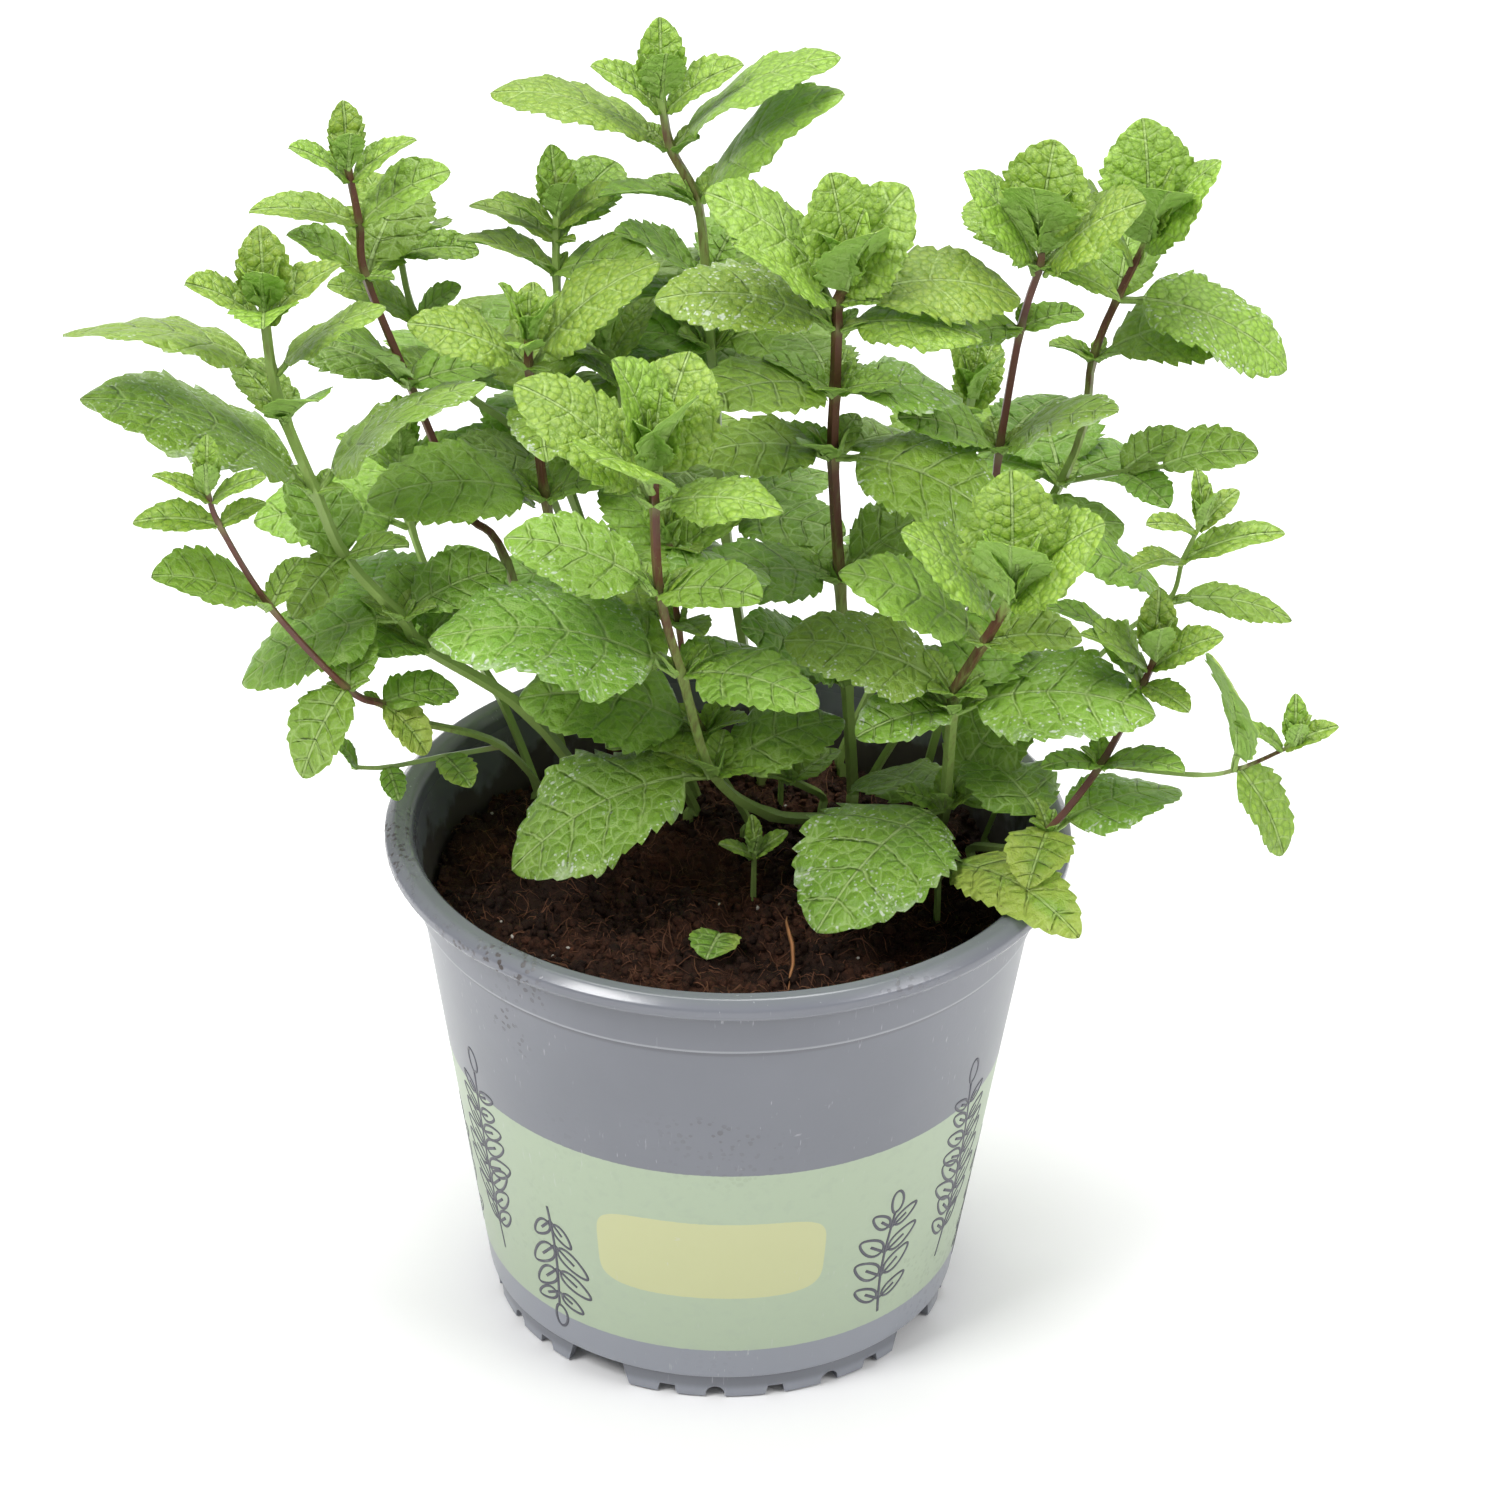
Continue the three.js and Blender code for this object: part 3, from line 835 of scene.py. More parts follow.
# Each leafy stem is a list of stalks: [thickness, heading of its bud, length of the bud's leaves, joints].
# A joint is [x, y, z, leaf, leaf...] from the pot's axis, and a first joint of [x, y] stands in the soil.
# A leaf is [heading in degrees from +X, length, rise in degrees]. Bud length 0 is a stalk with no bud.
leafyStems = [
    [[2.2, 15, 16, [
        [-30, 25], [-43, 24, 144], [-51, 26, 154, [230, 13, 35], [60, 20, 20]],
        [-61, 28, 179, [220, 22, 40], [10, 19, 5]], [-69, 30, 200, [180, 16, 30], [70, 24, 25]],
        [-70, 31, 210, [190, 20, 10], [10, 19, 30]], [-72, 32, 221]]]],
    [[2.2, 130, 17, [
        [-18, 38], [-37, 42, 154, [95, 30, 5], [170, 20, 10]], [-52, 46, 169, [75, 28, 15]],
        [-61, 48, 183, [190, 18, 25], [15, 10, 35]], [-64, 50, 195, [235, 15, -5], [20, 15, -5]],
        [-64, 50, 199]]]],
    [[2.8, 10, 17, [
        [-22, 14], [-38, 8, 120], [-57, 1, 138, [225, 15, 15], [70, 26, 5]],
        [-61, -4, 147, [195, 31, -20], [25, 21, 15]],
        [-71, -5, 160, [230, 15, -30], [130, 19, 30], [340, 13, 20]],
        [-76, -6, 174, [185, 45, 25], [15, 36, 30]], [-81, -7, 189, [300, 17, 35], [135, 15, 25]],
        [-83, -7, 198, [180, 37, 10], [10, 23, 30]], [-84, -7, 209, [275, 19, 20]], [-84, -7, 211]]]],
    [[1.8, 0, 11, [
        [-32, 16], [-43, 6, 114], [-58, -6, 126], [-64, -12, 133, [30, 15, -5], [330, 12, -40]],
        [-70, -17, 139, [230, 18, -50], [90, 15, 25]], [-83, -23, 159, [190, 22, 20], [60, 11, 30]],
        [-91, -28, 178, [180, 15, 0], [30, 9, 15]], [-93, -28, 185]]],
     [1.5, 170, 0, [
        [-43, 6, 114], [-54, 0, 115, [305, 10, -10]], [-64, -6, 116, [295, 7, -35]],
        [-70, -8, 117, [180, 7, 55]]]]],
    [[2.2, 15, 14, [
        [-8, 34], [-32, 34, 156, [60, 30, 0], [200, 24, 25]], [-33, 35, 177, [110, 30, 8], [305, 16, 0]],
        [-34, 36, 199, [185, 19, 20], [335, 20, 15]], [-34, 37, 205, [165, 17, 15], [60, 22, 20]],
        [-34, 38, 210]]]],
    [[2.4, 80, 13, [
        [-8, 26], [-30, 16, 140], [-35, 12, 164, [195, 33, 5], [350, 16, 25]],
        [-37, 12, 183, [280, 17, -10], [95, 25, 15]], [-38, 12, 191, [180, 23, 20], [20, 30, 35]],
        [-38, 12, 197]]]],
    [[2.8, 60, 24, [
        [20, 18], [8, 8, 99], [-3, -6, 116, [200, 41, -20], [35, 8, 25]],
        [-9, -16, 143, [185, 46, 10], [335, 27, 0]], [-13, -22, 163, [170, 29, 15], [335, 20, 10]],
        [-14, -26, 183, [160, 32, 35], [345, 23, 5]], [-14, -28, 191]]]],
    [[2, 120, 12, [
        [18, 27], [12, 16, 102, [260, 3, 50]], [-5, 6, 118, [180, 35, 10], [200, 19, 0]],
        [-10, 0, 145, [165, 23, -5]], [-11, -2, 159, [15, 17, 35], [120, 24, 15]], [-12, -2, 163]]]],
    [[2.8, 30, 24, [
        [24, 32], [22, 21, 121, [195, 25, 35]], [20, 16, 146, [200, 30, 5], [15, 21, 35]],
        [18, 12, 174, [195, 27, 5], [340, 34, -15]], [18, 10, 188, [215, 30, 10], [15, 24, -10]],
        [18, 8, 202, [185, 33, 10], [350, 26, 0]], [18, 8, 207, [175, 31, 40], [15, 34, -5]],
        [19, 8, 210]]]],
    [[2.8, 0, 25, [
        [41, 17], [41, 4, 104, [35, 28, 45], [235, 42, -10]],
        [41, -10, 133, [205, 19, -5], [350, 37, 5]], [41, -12, 138, [175, 32, 15], [60, 24, 15]],
        [46, -18, 152, [175, 29, 25], [355, 17, 5]], [50, -22, 163]]]],
    [[2.4, 345, 23, [
        [37, 28], [47, 20, 149, [20, 28, 5], [195, 15, 5]], [49, 20, 172, [335, 26, 30], [200, 22, 25]],
        [52, 22, 196, [210, 16, 0], [20, 12, 5]], [55, 23, 208, [0, 16, -25], [120, 23, 10]],
        [55, 24, 211]]]],
    [[2.2, 20, 24, [
        [30, 42], [62, 38, 156, [100, 30, 5]], [67, 41, 181, [10, 30, 10], [205, 10, 25]],
        [71, 42, 193, [350, 34, -20], [80, 20, 20]], [76, 44, 204]]],
     [1.5, 0, 0, [
        [62, 38, 156], [73, 33, 161, [310, 13, -10], [25, 15, 20]], [81, 30, 164, [0, 18, 10]]]]],
    [[1.6, 30, 13, [
        [50, 16], [59, 10, 120, [345, 18, 25]], [72, 6, 140, [195, 16, 30]],
        [81, 5, 149, [190, 25, 30], [0, 23, -10]], [83, 4, 158, [225, 15, 10], [5, 19, 15]],
        [86, 4, 166]]]],
    [[2.2, 0, 14, [
        [47, 9], [55, -6, 101], [60, -12, 109, [255, 17, -10]],
        [69, -10, 122, [325, 18, 15], [215, 14, 15]], [76, -8, 138, [315, 11, -5], [165, 15, 50]],
        [78, -8, 144]]],
     [1.4, 0, 11, [
        [69, -10, 122], [86, -13, 122], [94, -14, 124, [200, 26, 75], [325, 18, -55]],
        [104, -15, 130]]]],
    [[1.6, 0, 0, [
        [40, -4], [40, -10, 99, [310, 39, 5]]]]],
    [[2.8, 5, 19, [
        [6, 44], [-2, 38, 146, [120, 32, 0], [340, 24, 5]], [-4, 37, 172, [70, 32, 8], [185, 22, -10]],
        [-5, 38, 183, [180, 20, 5], [0, 26, 10]], [-6, 38, 196, [195, 21, 35], [60, 26, 10]],
        [-8, 40, 212, [0, 34, 40], [200, 19, 10]], [-13, 41, 222, [175, 34, 15], [5, 35, 30]],
        [-15, 42, 232]]]],
    [[2, 45, 14, [
        [3, 20], [-21, 24, 136, [265, 22, 5], [60, 30, 0]], [-22, 30, 179, [200, 14, 35], [350, 14, 10]],
        [-25, 31, 186]]]],
    [[2.4, 90, 16, [
        [-14, 48], [-20, 62, 118, [90, 34, -15], [190, 30, 5]],
        [-22, 70, 140, [130, 32, 5], [40, 28, 5]], [-22, 74, 158]]]],
    [[2.4, 60, 16, [
        [22, 44], [30, 51, 109], [38, 64, 122, [60, 34, -10], [330, 28, 0]],
        [44, 72, 140, [100, 30, 5], [10, 30, 5]], [46, 76, 155]]]],
    [[2.2, 10, 14, [
        [-38, 30], [-46, 37, 109], [-56, 45, 121, [150, 34, -5], [230, 22, 0]],
        [-63, 51, 137, [110, 30, 5], [190, 30, 5]], [-65, 54, 150]]]],
]

mint = {
    "ribWidth": 1.7,  # of the petiole
    "bladeWidth": 0.71,
    "budWidth": 0.8,
    "petioleShare": 0.12,
    "shortBlade": 20,
    "leafSeat": 0.25,
    "endLeafSeat": -0.3,
    "lightLean": 0.2,
    "thickness": 0.34,
    "upperSkin": 0.12,  # how far the upper face lies above the middle
    "arch": (20, 36),  # degrees of bend, and the length up to which each millimetre adds one
    "longBlade": 22,
    "longFold": -0.04,  # height of the edge, as a share of its reach
    "shortFold": 0.2,
    "fineBlade": 12,  # longer ones have all the columns
    "columns": (0, 0.05, 0.12, 0.24, 0.38, 0.52, 0.66, 0.8, 0.92, 1),  # shares of the half width
    "fewColumns": (0, 0.07, 0.25, 0.5, 0.75, 1),
    "teeth": ((30, 11), (20, 10), (12, 8), (6, 6), (0, 4)),  # blade's length, and teeth a side from there
    "toothHeight": 0.125,  # share of the half width
    "toothForm": ((0, 0), (0.3, 0.42), (0.6, 0.75), (0.86, 1)),  # part of a tooth, share of its height
    "veins": 5,
    "veinSweep": 0.5,
    "quilting": 0.02,  # height of the puffed fields, as a share of the half width
    "twist": 0.3,  # most turn of a blade by its tip, either way
    "stalkWidth": 0.76,
    "stalkTaper": 0.2,
    "stalkSection": (1.2, 0.97, 0.9, 0.97) * 4,  # a rounded square, its faces a little hollow
    "rooted": (-9.65, 2, 6),  # heights from the soil's top at which a stalk is upright
    "hairs": 3,
    "hairLength": (0.35, 0.7),
    "hairHalf": 0.035,
    "shoot": (6, 15),  # leaf lengths of the shoots in the axils, at the crown's edge and in its middle
    "shootLeaves": ((-38, 1, 26), (40, 0.8, 38), (0, 0.5, 66)),  # lean, share of the length, rise
    "shootSeat": 0.35,
    "inner": (17, 27),  # lengths of the grown leaves behind
    "crown": (0, 12, 75),  # its middle and its radius
    "sprout": (1.4, 7.5),  # thickness, leaf length
}
# Pairs of leaves in a bud: drop as a share of the length, turn, share of the length, rise, width
budPairs = ((0.2, 0, 1.02, 48, 1), (0, 90, 0.84, 69, 1), (-0.04, 6, 0.55, 70, 1), (-0.1, 96, 0.38, 76, 0.95),
            (-0.13, 45, 0.24, 82, 0.8))
leafLook = {
    "young": (0.31, 0.465, 0.058),
    "grown": (0.22, 0.385, 0.044),
    "old": (0.158, 0.287, 0.033),
    "yellow": (0.45, 0.55, 0.10),
    "under": (0.36, 0.58, 0.12),
    "underVein": (0.50, 0.68, 0.25),
    "vein": (0.50, 0.66, 0.24),
    # painted shade in the creases
    "creaseShade": (0.13, 0.26, 0.02),
    "chalk": (0.74, 0.80, 0.68),
    "brown": (0.16, 0.085, 0.03),
    "through": (0.4, 0.66, 0.045, 1),
    "throughShare": 0.24,
    "specular": 0.6,
}
stemLook = {
    "green": (0.18, 0.28, 0.06),
    "pale": (0.32, 0.45, 0.13),
    "purple": (0.15, 0.032, 0.034),
    "dark": (0.065, 0.018, 0.018),
    "woody": (0.19, 0.12, 0.06),
    "specular": 0.4,
}

# How purple the stalks of a stem are, by its number. The others stay green.
purple = {1: 1.7, 2: 0.2, 3: 0.25, 4: 0.9, 5: 0.2, 6: 0.8, 7: 0.55, 8: 0.7, 9: 1.15, 10: 0.5, 11: 1.1,
          12: 0.6, 14: 1.9, 16: 0.4}
headSize = {16: 0.84, 1: 0.85, 3: 0.95, 13: 0.85}
# Leaves below are named as (stem, joint counted from 0, leaf counted from 0)
chalkMarks = {
    (3, 5, 0): 1, (3, 5, 1): 0.6, (3, 7, 0): 0.5, (7, 3, 0): 0.9, (7, 2, 0): 0.7, (7, 4, 0): 0.4,
    (9, 4, 1): 0.9, (9, 5, 0): 0.9, (10, 2, 1): 0.8, (10, 2, 0): 0.9, (10, 1, 1): 0.9, (10, 3, 0): 0.6,
    (11, 2, 0): 0.8, (12, 3, 0): 0.6, (9, 3, 1): 0.7, (6, 3, 0): 0.6, (11, 3, 0): 0.7,
}
yellowLeaves = {(15, 1, 0), (4, 3, 1), (8, 1, 0), (14, 2, 0)}
# In radians
leaningBack = {(16, 6, 0): 0.36, (16, 6, 1): 0.4, (16, 5, 0): 0.12, (16, 5, 1): 0.35, (3, 7, 0): 0.38,
               (3, 5, 0): 0.2, (3, 7, 1): 0.4, (3, 5, 1): 0.42, (5, 4, 0): 0.3, (5, 3, 0): 0.25}
# Share of the width that is left
curled = {(15, 1, 0): 0.55, (13, 4, 0): 0.7, (13, 4, 1): 0.55, (13, 3, 1): 0.6, (13, 3, 0): 0.7,
          (13, 2, 0): 0.7, (14, 3, 0): 0.75, (14, 3, 1): 0.65, (4, 6, 0): 0.75, (4, 5, 1): 0.75,
          (1, 5, 0): 0.7}
# Small sprouts in the soil, by the stem they go with: place of the tip, heading
sprouts = {7: ((5, -2, 97), 20), 9: ((10, 33, 99), 75), 14: ((27, -12, 96), 50)}
# A leaf that lies on the soil: place, distance from it, heading, length, rise, width, tone
lyingLeaves = {5: ((-1, -17, 87.6), 0, 255, 9.5, 0, 1.05, (1, 0.15, 0))}


def ovate(share):
    return 2.343 * share ** 0.55 * (1 - share) ** 0.69


# Share of the way up the midrib at which a side vein starts that meets the edge at the given share
def veinStart(edgeShare):
    starts = np.linspace(0, 1, 81)
    return float(np.interp(edgeShare, starts + mint["veinSweep"] * np.sqrt(starts) * (1 - starts), starts))


# Closed faces between two layers of a grid, the second layer below the first
def gridFaces(rowCount, columnCount):
    layer = rowCount * columnCount
    faces = []
    for row in range(0, layer - columnCount, columnCount):
        for a in range(row, row + columnCount - 1):
            b = a + columnCount
            faces.append((a, b, b + 1, a + 1))
            faces.append((layer + a, layer + a + 1, layer + b + 1, layer + b))
        a, b = row, row + columnCount
        faces.append((a, layer + a, layer + b, b))
        a, b = b - 1, b + columnCount - 1
        faces.append((a, b, layer + b, layer + a))
    for a in range(columnCount - 1):
        faces.append((a, a + 1, layer + a + 1, layer + a))
        b = layer - columnCount + a
        faces.append((b, layer + b, layer + b + 1, b + 1))
    return faces


# One leaf as a closed thin grid. Rows follow its side veins, which sweep towards the tip.
# Its points carry blade: share up the midrib or -1 on the petiole, share across, and 1 on top. They also
# carry flat: millimetres along and across, and the leaf's own number. Tone is its age, yellow and chalk.
def addLeaf(heap, draw, joint, offset, heading, length, rise, width, tone, leanBack=0):
    petiole = mint["petioleShare"] if length > mint["shortBlade"] else 0
    teeth = next(count for shorter, count in mint["teeth"] if length > shorter)
    leastArch, longest = mint["arch"]
    arch = math.radians(leastArch + min(length, longest))
    fold = mint["longFold" if length > mint["longBlade"] else "shortFold"]
    arc = length * arch / 2 / math.sin(arch / 2)
    start = math.radians(rise) + arch / 2
    turn = math.radians(heading)
    upward = np.array((0, 0, 1.0))
    forward = np.array((math.cos(turn), math.sin(turn), 0))
    side = unit((-forward[1], forward[0], forward[0] * mint["lightLean"]))
    across = np.array(mint["columns" if length > mint["fineBlade"] else "fewColumns"])
    across = np.concatenate([-across[:0:-1], across])
    beside = np.abs(across)
    left = across < 0

    rows = [(step / 3 * petiole, 0, 0) for step in range(3)] if petiole else []
    for tooth in range(teeth):
        rows += [((tooth + part) / teeth, 1, height) for part, height in mint["toothForm"]]
    rows.append((1, 1, 0))
    along, reach, height, blades, thick = [], [], [], [], []
    widest = width * length / 2
    ruffle = [draw.uniform(-1, 1) for _ in range(8)]
    for atEdge, isBlade, rounding in rows:
        if not isBlade:
            along.append(np.full(len(across), atEdge))
            reach.append(across * mint["ribWidth"] / 2)
            height.append(-0.25 * across ** 2)
            blades.append(np.full(len(across), -1.0))
            thick.append(1.15 * np.sqrt(1 - 0.96 * across ** 2))
            continue
        if rounding == 0:
            toothSizes = [draw.uniform(0.35, 1.4) * mint["toothHeight"] for _ in (0, 1)]
        share = veinStart(atEdge)
        half = widest * ovate(atEdge) if 0 < atEdge < 1 else 0
        half = half * (1 + 0.04 * math.sin(atEdge * 5 + 6 * ruffle[6]))
        toothed = half * (1 + np.where(left, *toothSizes) * (rounding - 0.62))
        along.append(petiole + (1 - petiole) * (share + (atEdge - share) * beside ** 1.2))
        reach.append(across * np.maximum(toothed, mint["ribWidth"] / 2 * (1 - share)))
        field = share * mint["veins"] % 1
        puff = math.sin(math.pi * field) ** 0.7 * mint["quilting"] * widest
        puff = puff * np.clip(beside * 6, 0, 1) * (1 - beside ** 3)
        lobe = 0.028 * widest * np.sin(np.pi * beside) * (1 - share * 0.5)
        phases = np.where(left, ruffle[1], ruffle[2]) * 3.1 + 6 * ruffle[0]
        wave = (0.065 + 0.04 * ruffle[3]) * across ** 2 * np.sin(atEdge * (9 + 3 * ruffle[4]) + phases)
        ripple = 0.03 * beside ** 3 * np.sin(atEdge * 27 + 2 * phases)
        height.append(puff + lobe + (wave + ripple) * widest * (0.3 + atEdge) * (1 - atEdge) * 2.4)
        blades.append(np.full(len(across), share))
        rib = (1 - share) * 0.75 * np.exp(-(reach[-1] / 0.55) ** 2)
        vein = 0.13 * (field < 0.02 or field > 0.9) * (1 - beside)
        thick.append(mint["thickness"] * (1 - 0.3 * share) * (1 - 0.65 * beside ** 4) + rib + vein)
    along, reach, height, blades, thick = map(np.array, (along, reach, height, blades, thick))

    lean = start - arch * along
    out = (math.sin(start) - np.sin(lean)) / arch * arc
    up = (np.cos(lean) - math.cos(start)) / arch * arc
    normal = np.cross(forward * np.cos(lean)[..., None] + upward * np.sin(lean)[..., None], side)
    normal /= np.linalg.norm(normal, axis=2)[..., None]
    bend = leanBack * forward[0] * np.minimum(along * 3, 1)
    twist = (mint["twist"] * ruffle[5] * along ** 1.5 - bend)[..., None]
    aside = side * np.cos(twist) + normal * np.sin(twist)
    normal = normal * np.cos(twist) - side * np.sin(twist)
    middle = np.asarray(joint[:3]) + forward * (offset + out)[..., None] + upward * up[..., None]
    middle = middle + aside * reach[..., None] + normal * (fold * np.abs(reach) + height)[..., None]
    top = middle + normal * mint["upperSkin"]
    under = middle - normal * (thick - mint["upperSkin"])[..., None]
    number = np.full(along.shape, draw.random())
    blade = np.stack([blades, np.broadcast_to(across, along.shape), np.ones(along.shape)], axis=2)
    flat = np.stack([along * length, reach, number], axis=2)
    heap.add([top, under], gridFaces(*along.shape), 0, blade=np.reshape([blade, blade * (1, 1, 0)], (-1, 3)),
             flat=np.reshape([flat, flat], (-1, 3)), tone=tone)


# A smooth path through the joints
def curvedPath(joints, steps):
    points = [np.asarray(p, dtype=float) for p in joints]
    points = [2 * points[0] - points[1], *points, 2 * points[-1] - points[-2]]
    path = []
    for i in range(1, len(points) - 2):
        a, b, c, d = points[i - 1:i + 3]
        for step in range(steps):
            t = step / steps
            path.append((2 * t ** 3 - 3 * t ** 2 + 1) * b + (t ** 3 - 2 * t ** 2 + t) * (c - a) / 2
                        + (3 * t ** 2 - 2 * t ** 3) * c + (t ** 3 - t ** 2) * (d - b) / 2)
    path.append(points[-2])
    return path


def stalkJoints(joints):
    foot, *rest = [joint[:3] for joint in joints]
    if len(foot) == 3:
        return [foot, *rest]
    return [(*foot, soil["top"] + height) for height in mint["rooted"]] + rest


def addStalk(heap, draw, thickness, joints, purple):
    path = np.array(curvedPath(stalkJoints(joints), 6))
    shares = np.linspace(0, 1, len(path))
    knots = np.array([joint[:3] for joint in joints[1:]])
    nearest = np.linalg.norm(path[:, None] - knots, axis=2).min(axis=1)
    swell = np.exp(-nearest ** 2 / 1.4)
    radii = thickness / 2 * (mint["stalkWidth"] - mint["stalkTaper"] * shares) * (1 + 0.2 * swell)
    points, faces = tube(path, radii, mint["stalkSection"])
    corners = len(mint["stalkSection"])
    rows = np.repeat(shares, corners)
    # Greener near the soil and the tip
    aboveSoil = np.clip((points[:, 2] - 84) / 26, 0.15, 1) * np.clip((1.04 - rows) * 9, 0, 1)
    blush = np.clip(purple * np.clip(1.9 * rows - 0.45, 0.08, 1.2) * aboveSoil, 0, 1)
    tone = np.stack([blush, np.repeat(swell, corners), rows], axis=1)
    heap.add(points, faces, 1, tone=tone, blade=(0, 0, 0), flat=(0, 0, draw.random()))
    addHairs(heap, draw, path, radii, blush.reshape(len(path), -1).mean(axis=1))


def addHairs(heap, draw, path, radii, blush):
    half = mint["hairHalf"]
    for i in range(8, len(path) - 1):
        course = unit(path[i + 1] - path[i])
        for _ in range(mint["hairs"]):
            outward = unit(np.cross(course, (draw.gauss(0, 1), draw.gauss(0, 1), draw.gauss(0, 1))))
            foot = path[i] + (path[i + 1] - path[i]) * draw.random() + outward * radii[i] * 0.85
            tip = foot + (outward + course * -0.4) * draw.uniform(*mint["hairLength"])
            beside, along = np.cross(outward, course) * half, course * half
            heap.add([foot + beside, foot - beside + along, foot - beside - along, tip],
                     [(0, 1, 2), (0, 3, 1), (1, 3, 2), (2, 3, 0)], 1,
                     tone=(blush[i] * 0.5, 1, 0.5), blade=(0, 0, 0), flat=(0, 0, 0))


# Small heads have slimmer leaves, and their outer pair opens wider
def addBud(heap, draw, joints, thickness, heading, length):
    top = np.array(joints[-1][:3], dtype=float)
    down = unit(np.array(joints[-2][:3]) - top)
    full = min(1, max(0, (length - 11) / 10))
    for drop, turn, share, rise, width in budPairs:
        joint = top + down * drop * length
        seat = thickness * mint["leafSeat"] * min(share * 2, 1)
        for opposite in (0, 180):
            tone = (0.04 + draw.uniform(0, 0.1), 0, 0)
            towards = heading + turn + opposite + draw.uniform(-8, 8)
            front = -math.sin(math.radians(towards))
            size = length * share * (1 - 0.1 * front * (turn > 0)) * draw.uniform(0.94, 1.04)
            addLeaf(heap, draw, joint, seat, towards, size,
                    rise - 9 * front - (1 - full) * 20 * (share > 1) + draw.uniform(-7, 5),
                    mint["budWidth"] * width * (0.66 + 0.34 * full), tone)


# A few young leaves in each axil of a joint, larger towards the crown's middle, and grown leaves behind
def addShoots(heap, draw, joint, thickness, heading, fromTop):
    x, y, reach = mint["crown"]
    small, large = mint["shoot"]
    inside = max(0, 1 - math.hypot(joint[0] - x, joint[1] - y) / reach)
    size = (small + (large - small) * inside) * min(1, thickness / 2.4) * (1 if fromTop > 14 else 0.6)
    seat = thickness * mint["shootSeat"]
    for turn in (0, 180):
        scale = size * draw.uniform(0.6, 1.15)
        for lean, share, rise in mint["shootLeaves"]:
            if scale * share > 3.4 and draw.random() < 0.85:
                tone = (draw.uniform(0.1, 0.45), 0, 0)
                addLeaf(heap, draw, joint, seat, heading + turn + lean + draw.uniform(-16, 16),
                        scale * share, rise + draw.uniform(-18, 14), mint["budWidth"] * 0.8, tone)
    if thickness >= 2.2 and fromTop > 20 and inside > 0.1:
        for towards in (draw.uniform(20, 75), draw.uniform(105, 160)):
            tone = (draw.uniform(0.45, 0.95), 0, draw.uniform(-0.6, 0.5))
            addLeaf(heap, draw, joint, seat, towards, draw.uniform(*mint["inner"]), draw.uniform(-18, 16),
                    mint["bladeWidth"], tone, draw.uniform(-0.2, 0.3))


# Age, yellow and chalk of a leaf, each from 0 to 1
def leafTone(draw, fromTop, length, height, leaf):
    age = min(1, 0.14 + fromTop / 105 + draw.uniform(-0.1, 0.12))
    fadedAndPaintedFloorLight = 0.5 if leaf in yellowLeaves else max(0, draw.uniform(-0.5, 0.36)) * (height < 122) * (length < 30)
    return (age, fadedAndPaintedFloorLight, chalkMarks.get(leaf, 0))


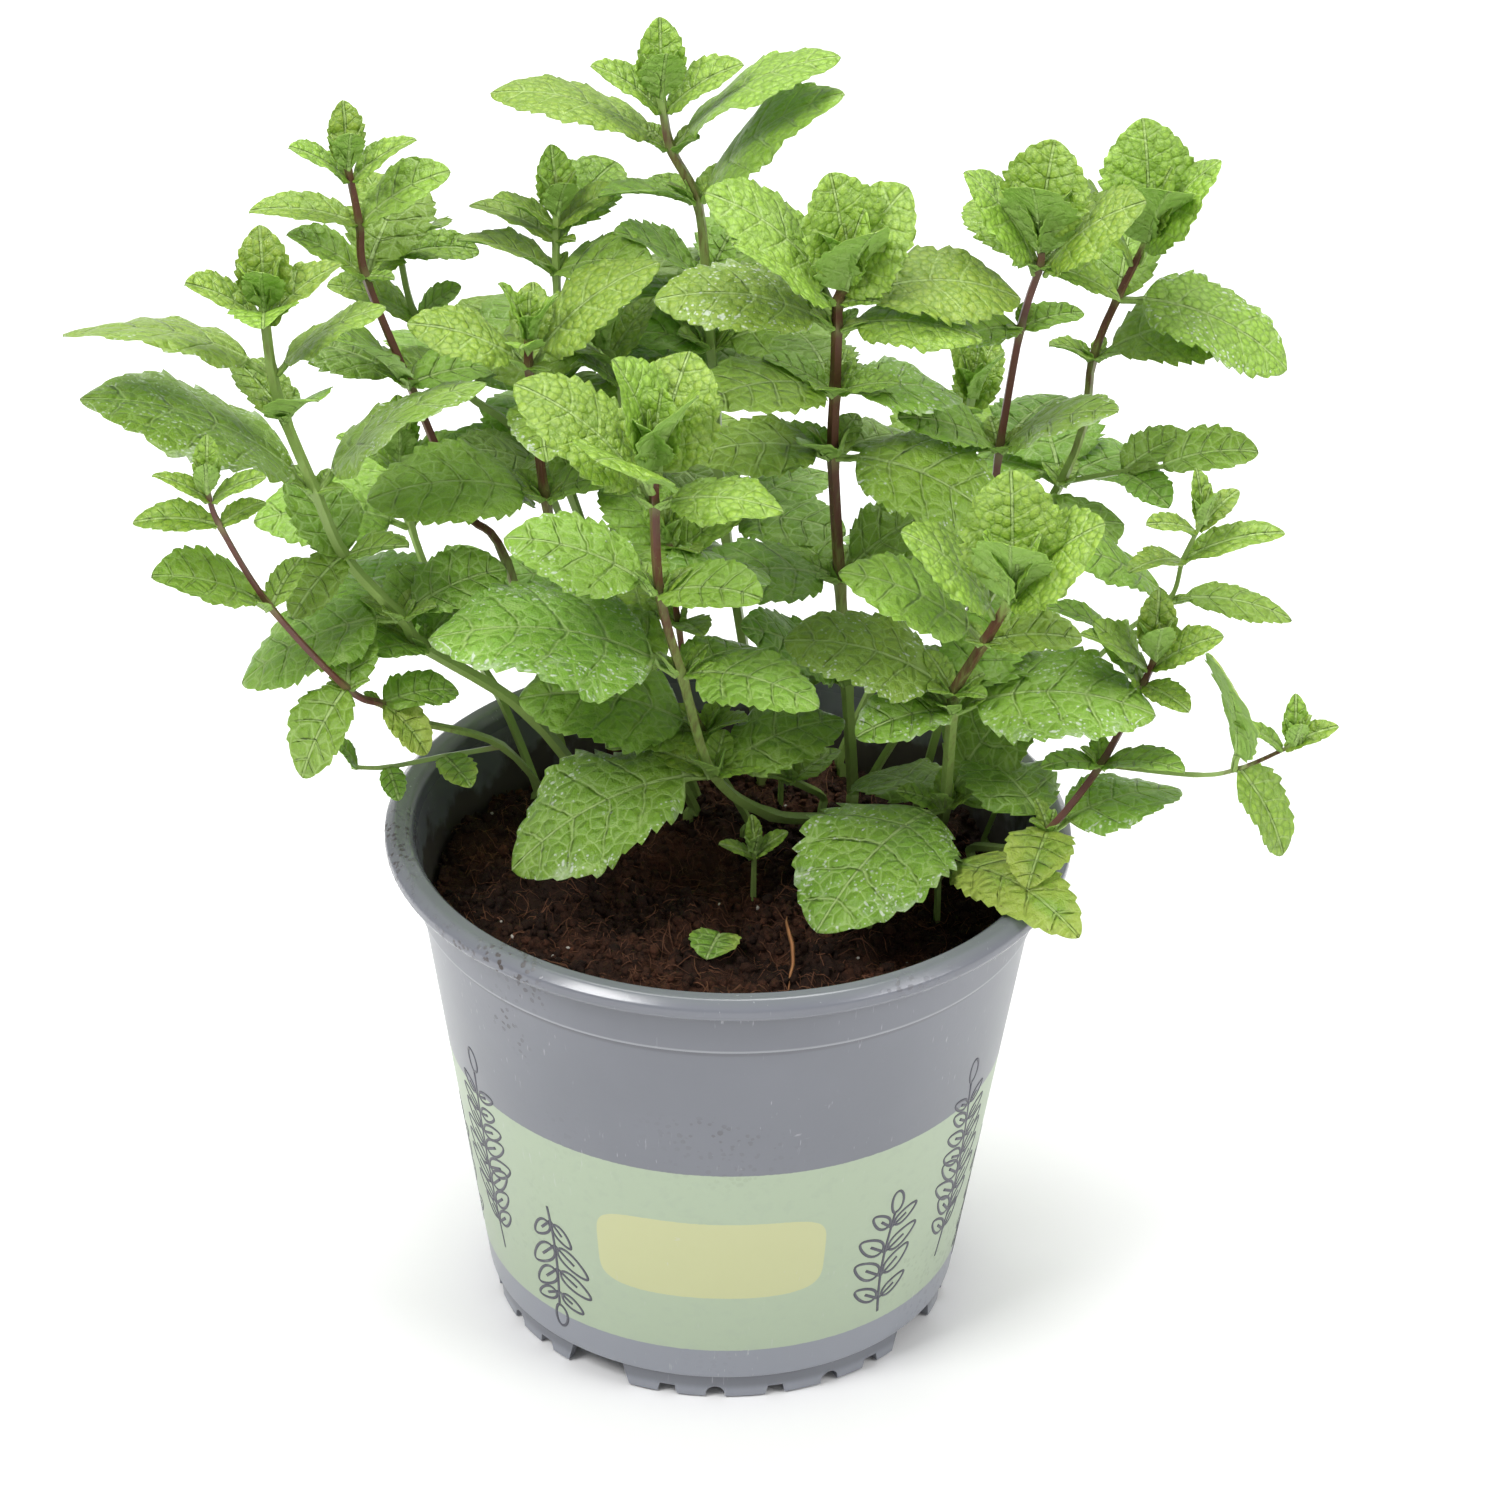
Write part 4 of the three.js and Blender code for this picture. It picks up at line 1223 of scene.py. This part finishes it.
def leafMaterial():
    paint = Paint("mint_leaf", onObject=False)
    share, across, isTop = paint.attribute("blade")
    alongMm, acrossMm, number = paint.attribute("flat")
    age, yellow, chalk = paint.attribute("tone")
    beside = abs(across)
    layer = number * 400  # each leaf has textures of its own
    paint.place = paint.vector(alongMm, acrossMm, layer)
    isBlade = share.step(-0.02, 0.0)
    isYoung = age.step(0.42, 0.12)
    cloud = paint.noise(0.16)

    # Midrib, side veins, and the net between them
    field = (share + (cloud - 0.5) * 0.07) * mint["veins"]
    toVein = abs((field + 0.5).fraction() - 0.5) * (1 / mint["veins"])
    sideVein = toVein.step(0.0095, 0.003) * beside.step(0.95, 0.7) * isBlade
    midrib = (abs(acrossMm) - 0.14 * share.step(0.5, 0)).step(0.36, 0.18)
    veins = midrib.atLeast(sideVein * (0.85 - 0.45 * beside))
    wideNet = paint.cells(0.34, "DISTANCE_TO_EDGE")
    net = paint.cells(0.62, "DISTANCE_TO_EDGE")
    netLine = (wideNet.step(0.07, 0.02) * isBlade).atLeast(net.step(0.06, 0.0) * isBlade * 0.4)

    # Chalk that hard water left: dots, and strokes that lie along the side veins
    amount = paint.noise(0.14) * 0.8 + beside * beside * 0.24 + chalk * 0.22
    size = paint.noise(0.9, 1) * 0.3
    dots = (paint.cells(0.95, "F1") - size).step(0.12, 0.02) * amount.step(0.6, 0.7)
    slant = paint.vector(alongMm * 0.35 + beside * 2, acrossMm * 1.5 - alongMm * across * 0.4, layer)
    strokes = (paint.cells(0.8, "F1", slant) - size).step(0.1, 0.0) * amount.step(0.64, 0.74)
    haze = (amount + paint.noise(1.6, 5, 0.75) * 0.5).step(1.04, 1.22) * 0.5
    chalky = dots.atLeast(strokes).atLeast(haze) * chalk.step(0.02, 0.2) * isTop * isBlade

    grown = paint.mix(age.step(0.5, 1.0), leafLook["grown"], leafLook["old"])
    color = paint.coats(leafLook["young"], (age.step(0.05, 0.6), grown),
                        (paint.noise(0.1).step(0.38, 0.72) * 0.35, leafLook["young"]))
    mottled = paint.noise(0.9, 4, 0.7)
    values = {"Hue": 0.49 + number * 0.02, "Value": 0.61 + number * 0.33 + mottled * 0.76, "Color": color}
    turning = (cloud + beside * 0.25 + yellow * 0.9).step(0.75, 1.15) * yellow.step(0.0, 0.1)
    spots = (paint.noise(0.75, 2) + yellow * 0.1).step(0.74, 0.8) * yellow.step(0.1, 0.4)
    upper = paint.coats(
        paint.node("ShaderNodeHueSaturation", None, values),
        # painted shade in the creases between the leaf's cells, stronger on young leaves
        (net.step(0.24, 0.02) * (0.2 + 0.34 * isYoung), leafLook["creaseShade"]),
        (netLine * (0.14 + 0.42 * age), leafLook["vein"]),
        (veins * (0.68 + 0.2 * age), leafLook["vein"]),
        (turning * 0.85, leafLook["yellow"]),
        (spots * 0.75, leafLook["brown"]),
        (chalky * 0.85, leafLook["chalk"]),
    )
    under = paint.mix(veins * 0.5 + netLine * 0.15, leafLook["under"], leafLook["underVein"])
    color = paint.coats(under, (isTop, upper), ((1 - isBlade) * 0.6, stemLook["pale"]))
    roughness = 0.25 + 0.12 * paint.noise(0.5, 2) + chalky * 0.3 + (1 - isTop) * 0.2

    # Young leaves are blistered, and grown ones puffed between their veins
    center = paint.cells(0.62, "F1")
    dome = 1 - center * center * 1.3
    sunk = 1 - toVein.step(0.02, 0.0) * beside.step(1.0, 0.6) * isBlade
    normal = paint.bump(
        (wideNet.step(0.0, 0.42) * (1 - 0.72 * isYoung), 0.46),
        (dome * (0.3 + 0.7 * isYoung), 0.5),
        (paint.noise(2.6), 0.27),
        (sunk * (1 - 0.7 * isYoung), 0.42),
        (1 - midrib, 0.3),
    )
    leaf = paint.gloss(color, roughness, leafLook["specular"], normal)
    light = paint.node("ShaderNodeBsdfTranslucent", None, {"Color": leafLook["through"]})
    lit = paint.node("ShaderNodeMixShader", None, {0: leafLook["throughShare"], 1: leaf, 2: light})
    return paint.finish(lit)


def stemMaterial():
    paint = Paint("mint_stem")
    blush, swell, along = paint.attribute("tone")
    risen = paint.stretched(1, 1, 0.2)
    streak = paint.noise(1300, place=risen)
    color = paint.coats(
        paint.mix(paint.noise(80), stemLook["green"], stemLook["pale"]),
        ((blush + (streak - 0.5) * 0.5).step(0.2, 0.62) * 0.95,
         paint.mix(paint.noise(420, 2, place=risen), stemLook["dark"], stemLook["purple"])),
        (swell * 0.25, stemLook["pale"]),
        (along.step(0.16, 0.0) * 0.6, stemLook["woody"]),
    )
    normal = paint.bump((streak, 0.05), (paint.noise(500, 2), 0.05))
    return paint.finish(paint.gloss(color, 0.3 + 0.2 * streak, stemLook["specular"], normal))


def addLeafyStalk(heap, draw, number, thickness, budHeading, budLength, joints):
    isSide = len(joints[0]) > 2
    addStalk(heap, draw, thickness, joints, purple.get(number, 0.1) * (0.25 if isSide else 1))
    top = joints[-1][2]
    end = len(joints) - 1
    for step, joint in enumerate(joints):
        seat = thickness * mint["leafSeat" if step < end else "endLeafSeat"]
        for which, (heading, length, rise) in enumerate(joint[3:]):
            leaf = (number, step, which)
            tone = leafTone(draw, top - joint[2] + (0 if budLength else 50), length, joint[2], leaf)
            width = mint["bladeWidth"] * curled.get(leaf, 0.88 + 0.14 * min(tone[0] * 2, 1))
            addLeaf(heap, draw, joint, seat, heading, length, rise, width, tone, leaningBack.get(leaf, 0))
        if len(joint) > 3 and step < end:
            addShoots(heap, draw, joint, thickness, joint[3][0], top - joint[2])
    if budLength:
        addBud(heap, draw, joints, thickness, budHeading, budLength * headSize.get(number, 1))


def addMint():
    materials = [leafMaterial(), stemMaterial()]
    for number, stalks in enumerate(leafyStems, 1):
        draw = random.Random(100 + number)
        heap = Heap()
        for stalk in stalks:
            addLeafyStalk(heap, draw, number, *stalk)
        if number in sprouts:
            tip, heading = sprouts[number]
            thickness, length = mint["sprout"]
            joints = [tip[:2], tip]
            addStalk(heap, draw, thickness, joints, 0.1)
            addBud(heap, draw, stalkJoints(joints), thickness, heading, length)
        if number in lyingLeaves:
            addLeaf(heap, draw, *lyingLeaves[number])
        name = f"leafy_stem_{number:02d}"
        heap.piece(f"mint_{number:02d}", materials, "leaf", [name], sharp=75)


addMint()
print("mint")
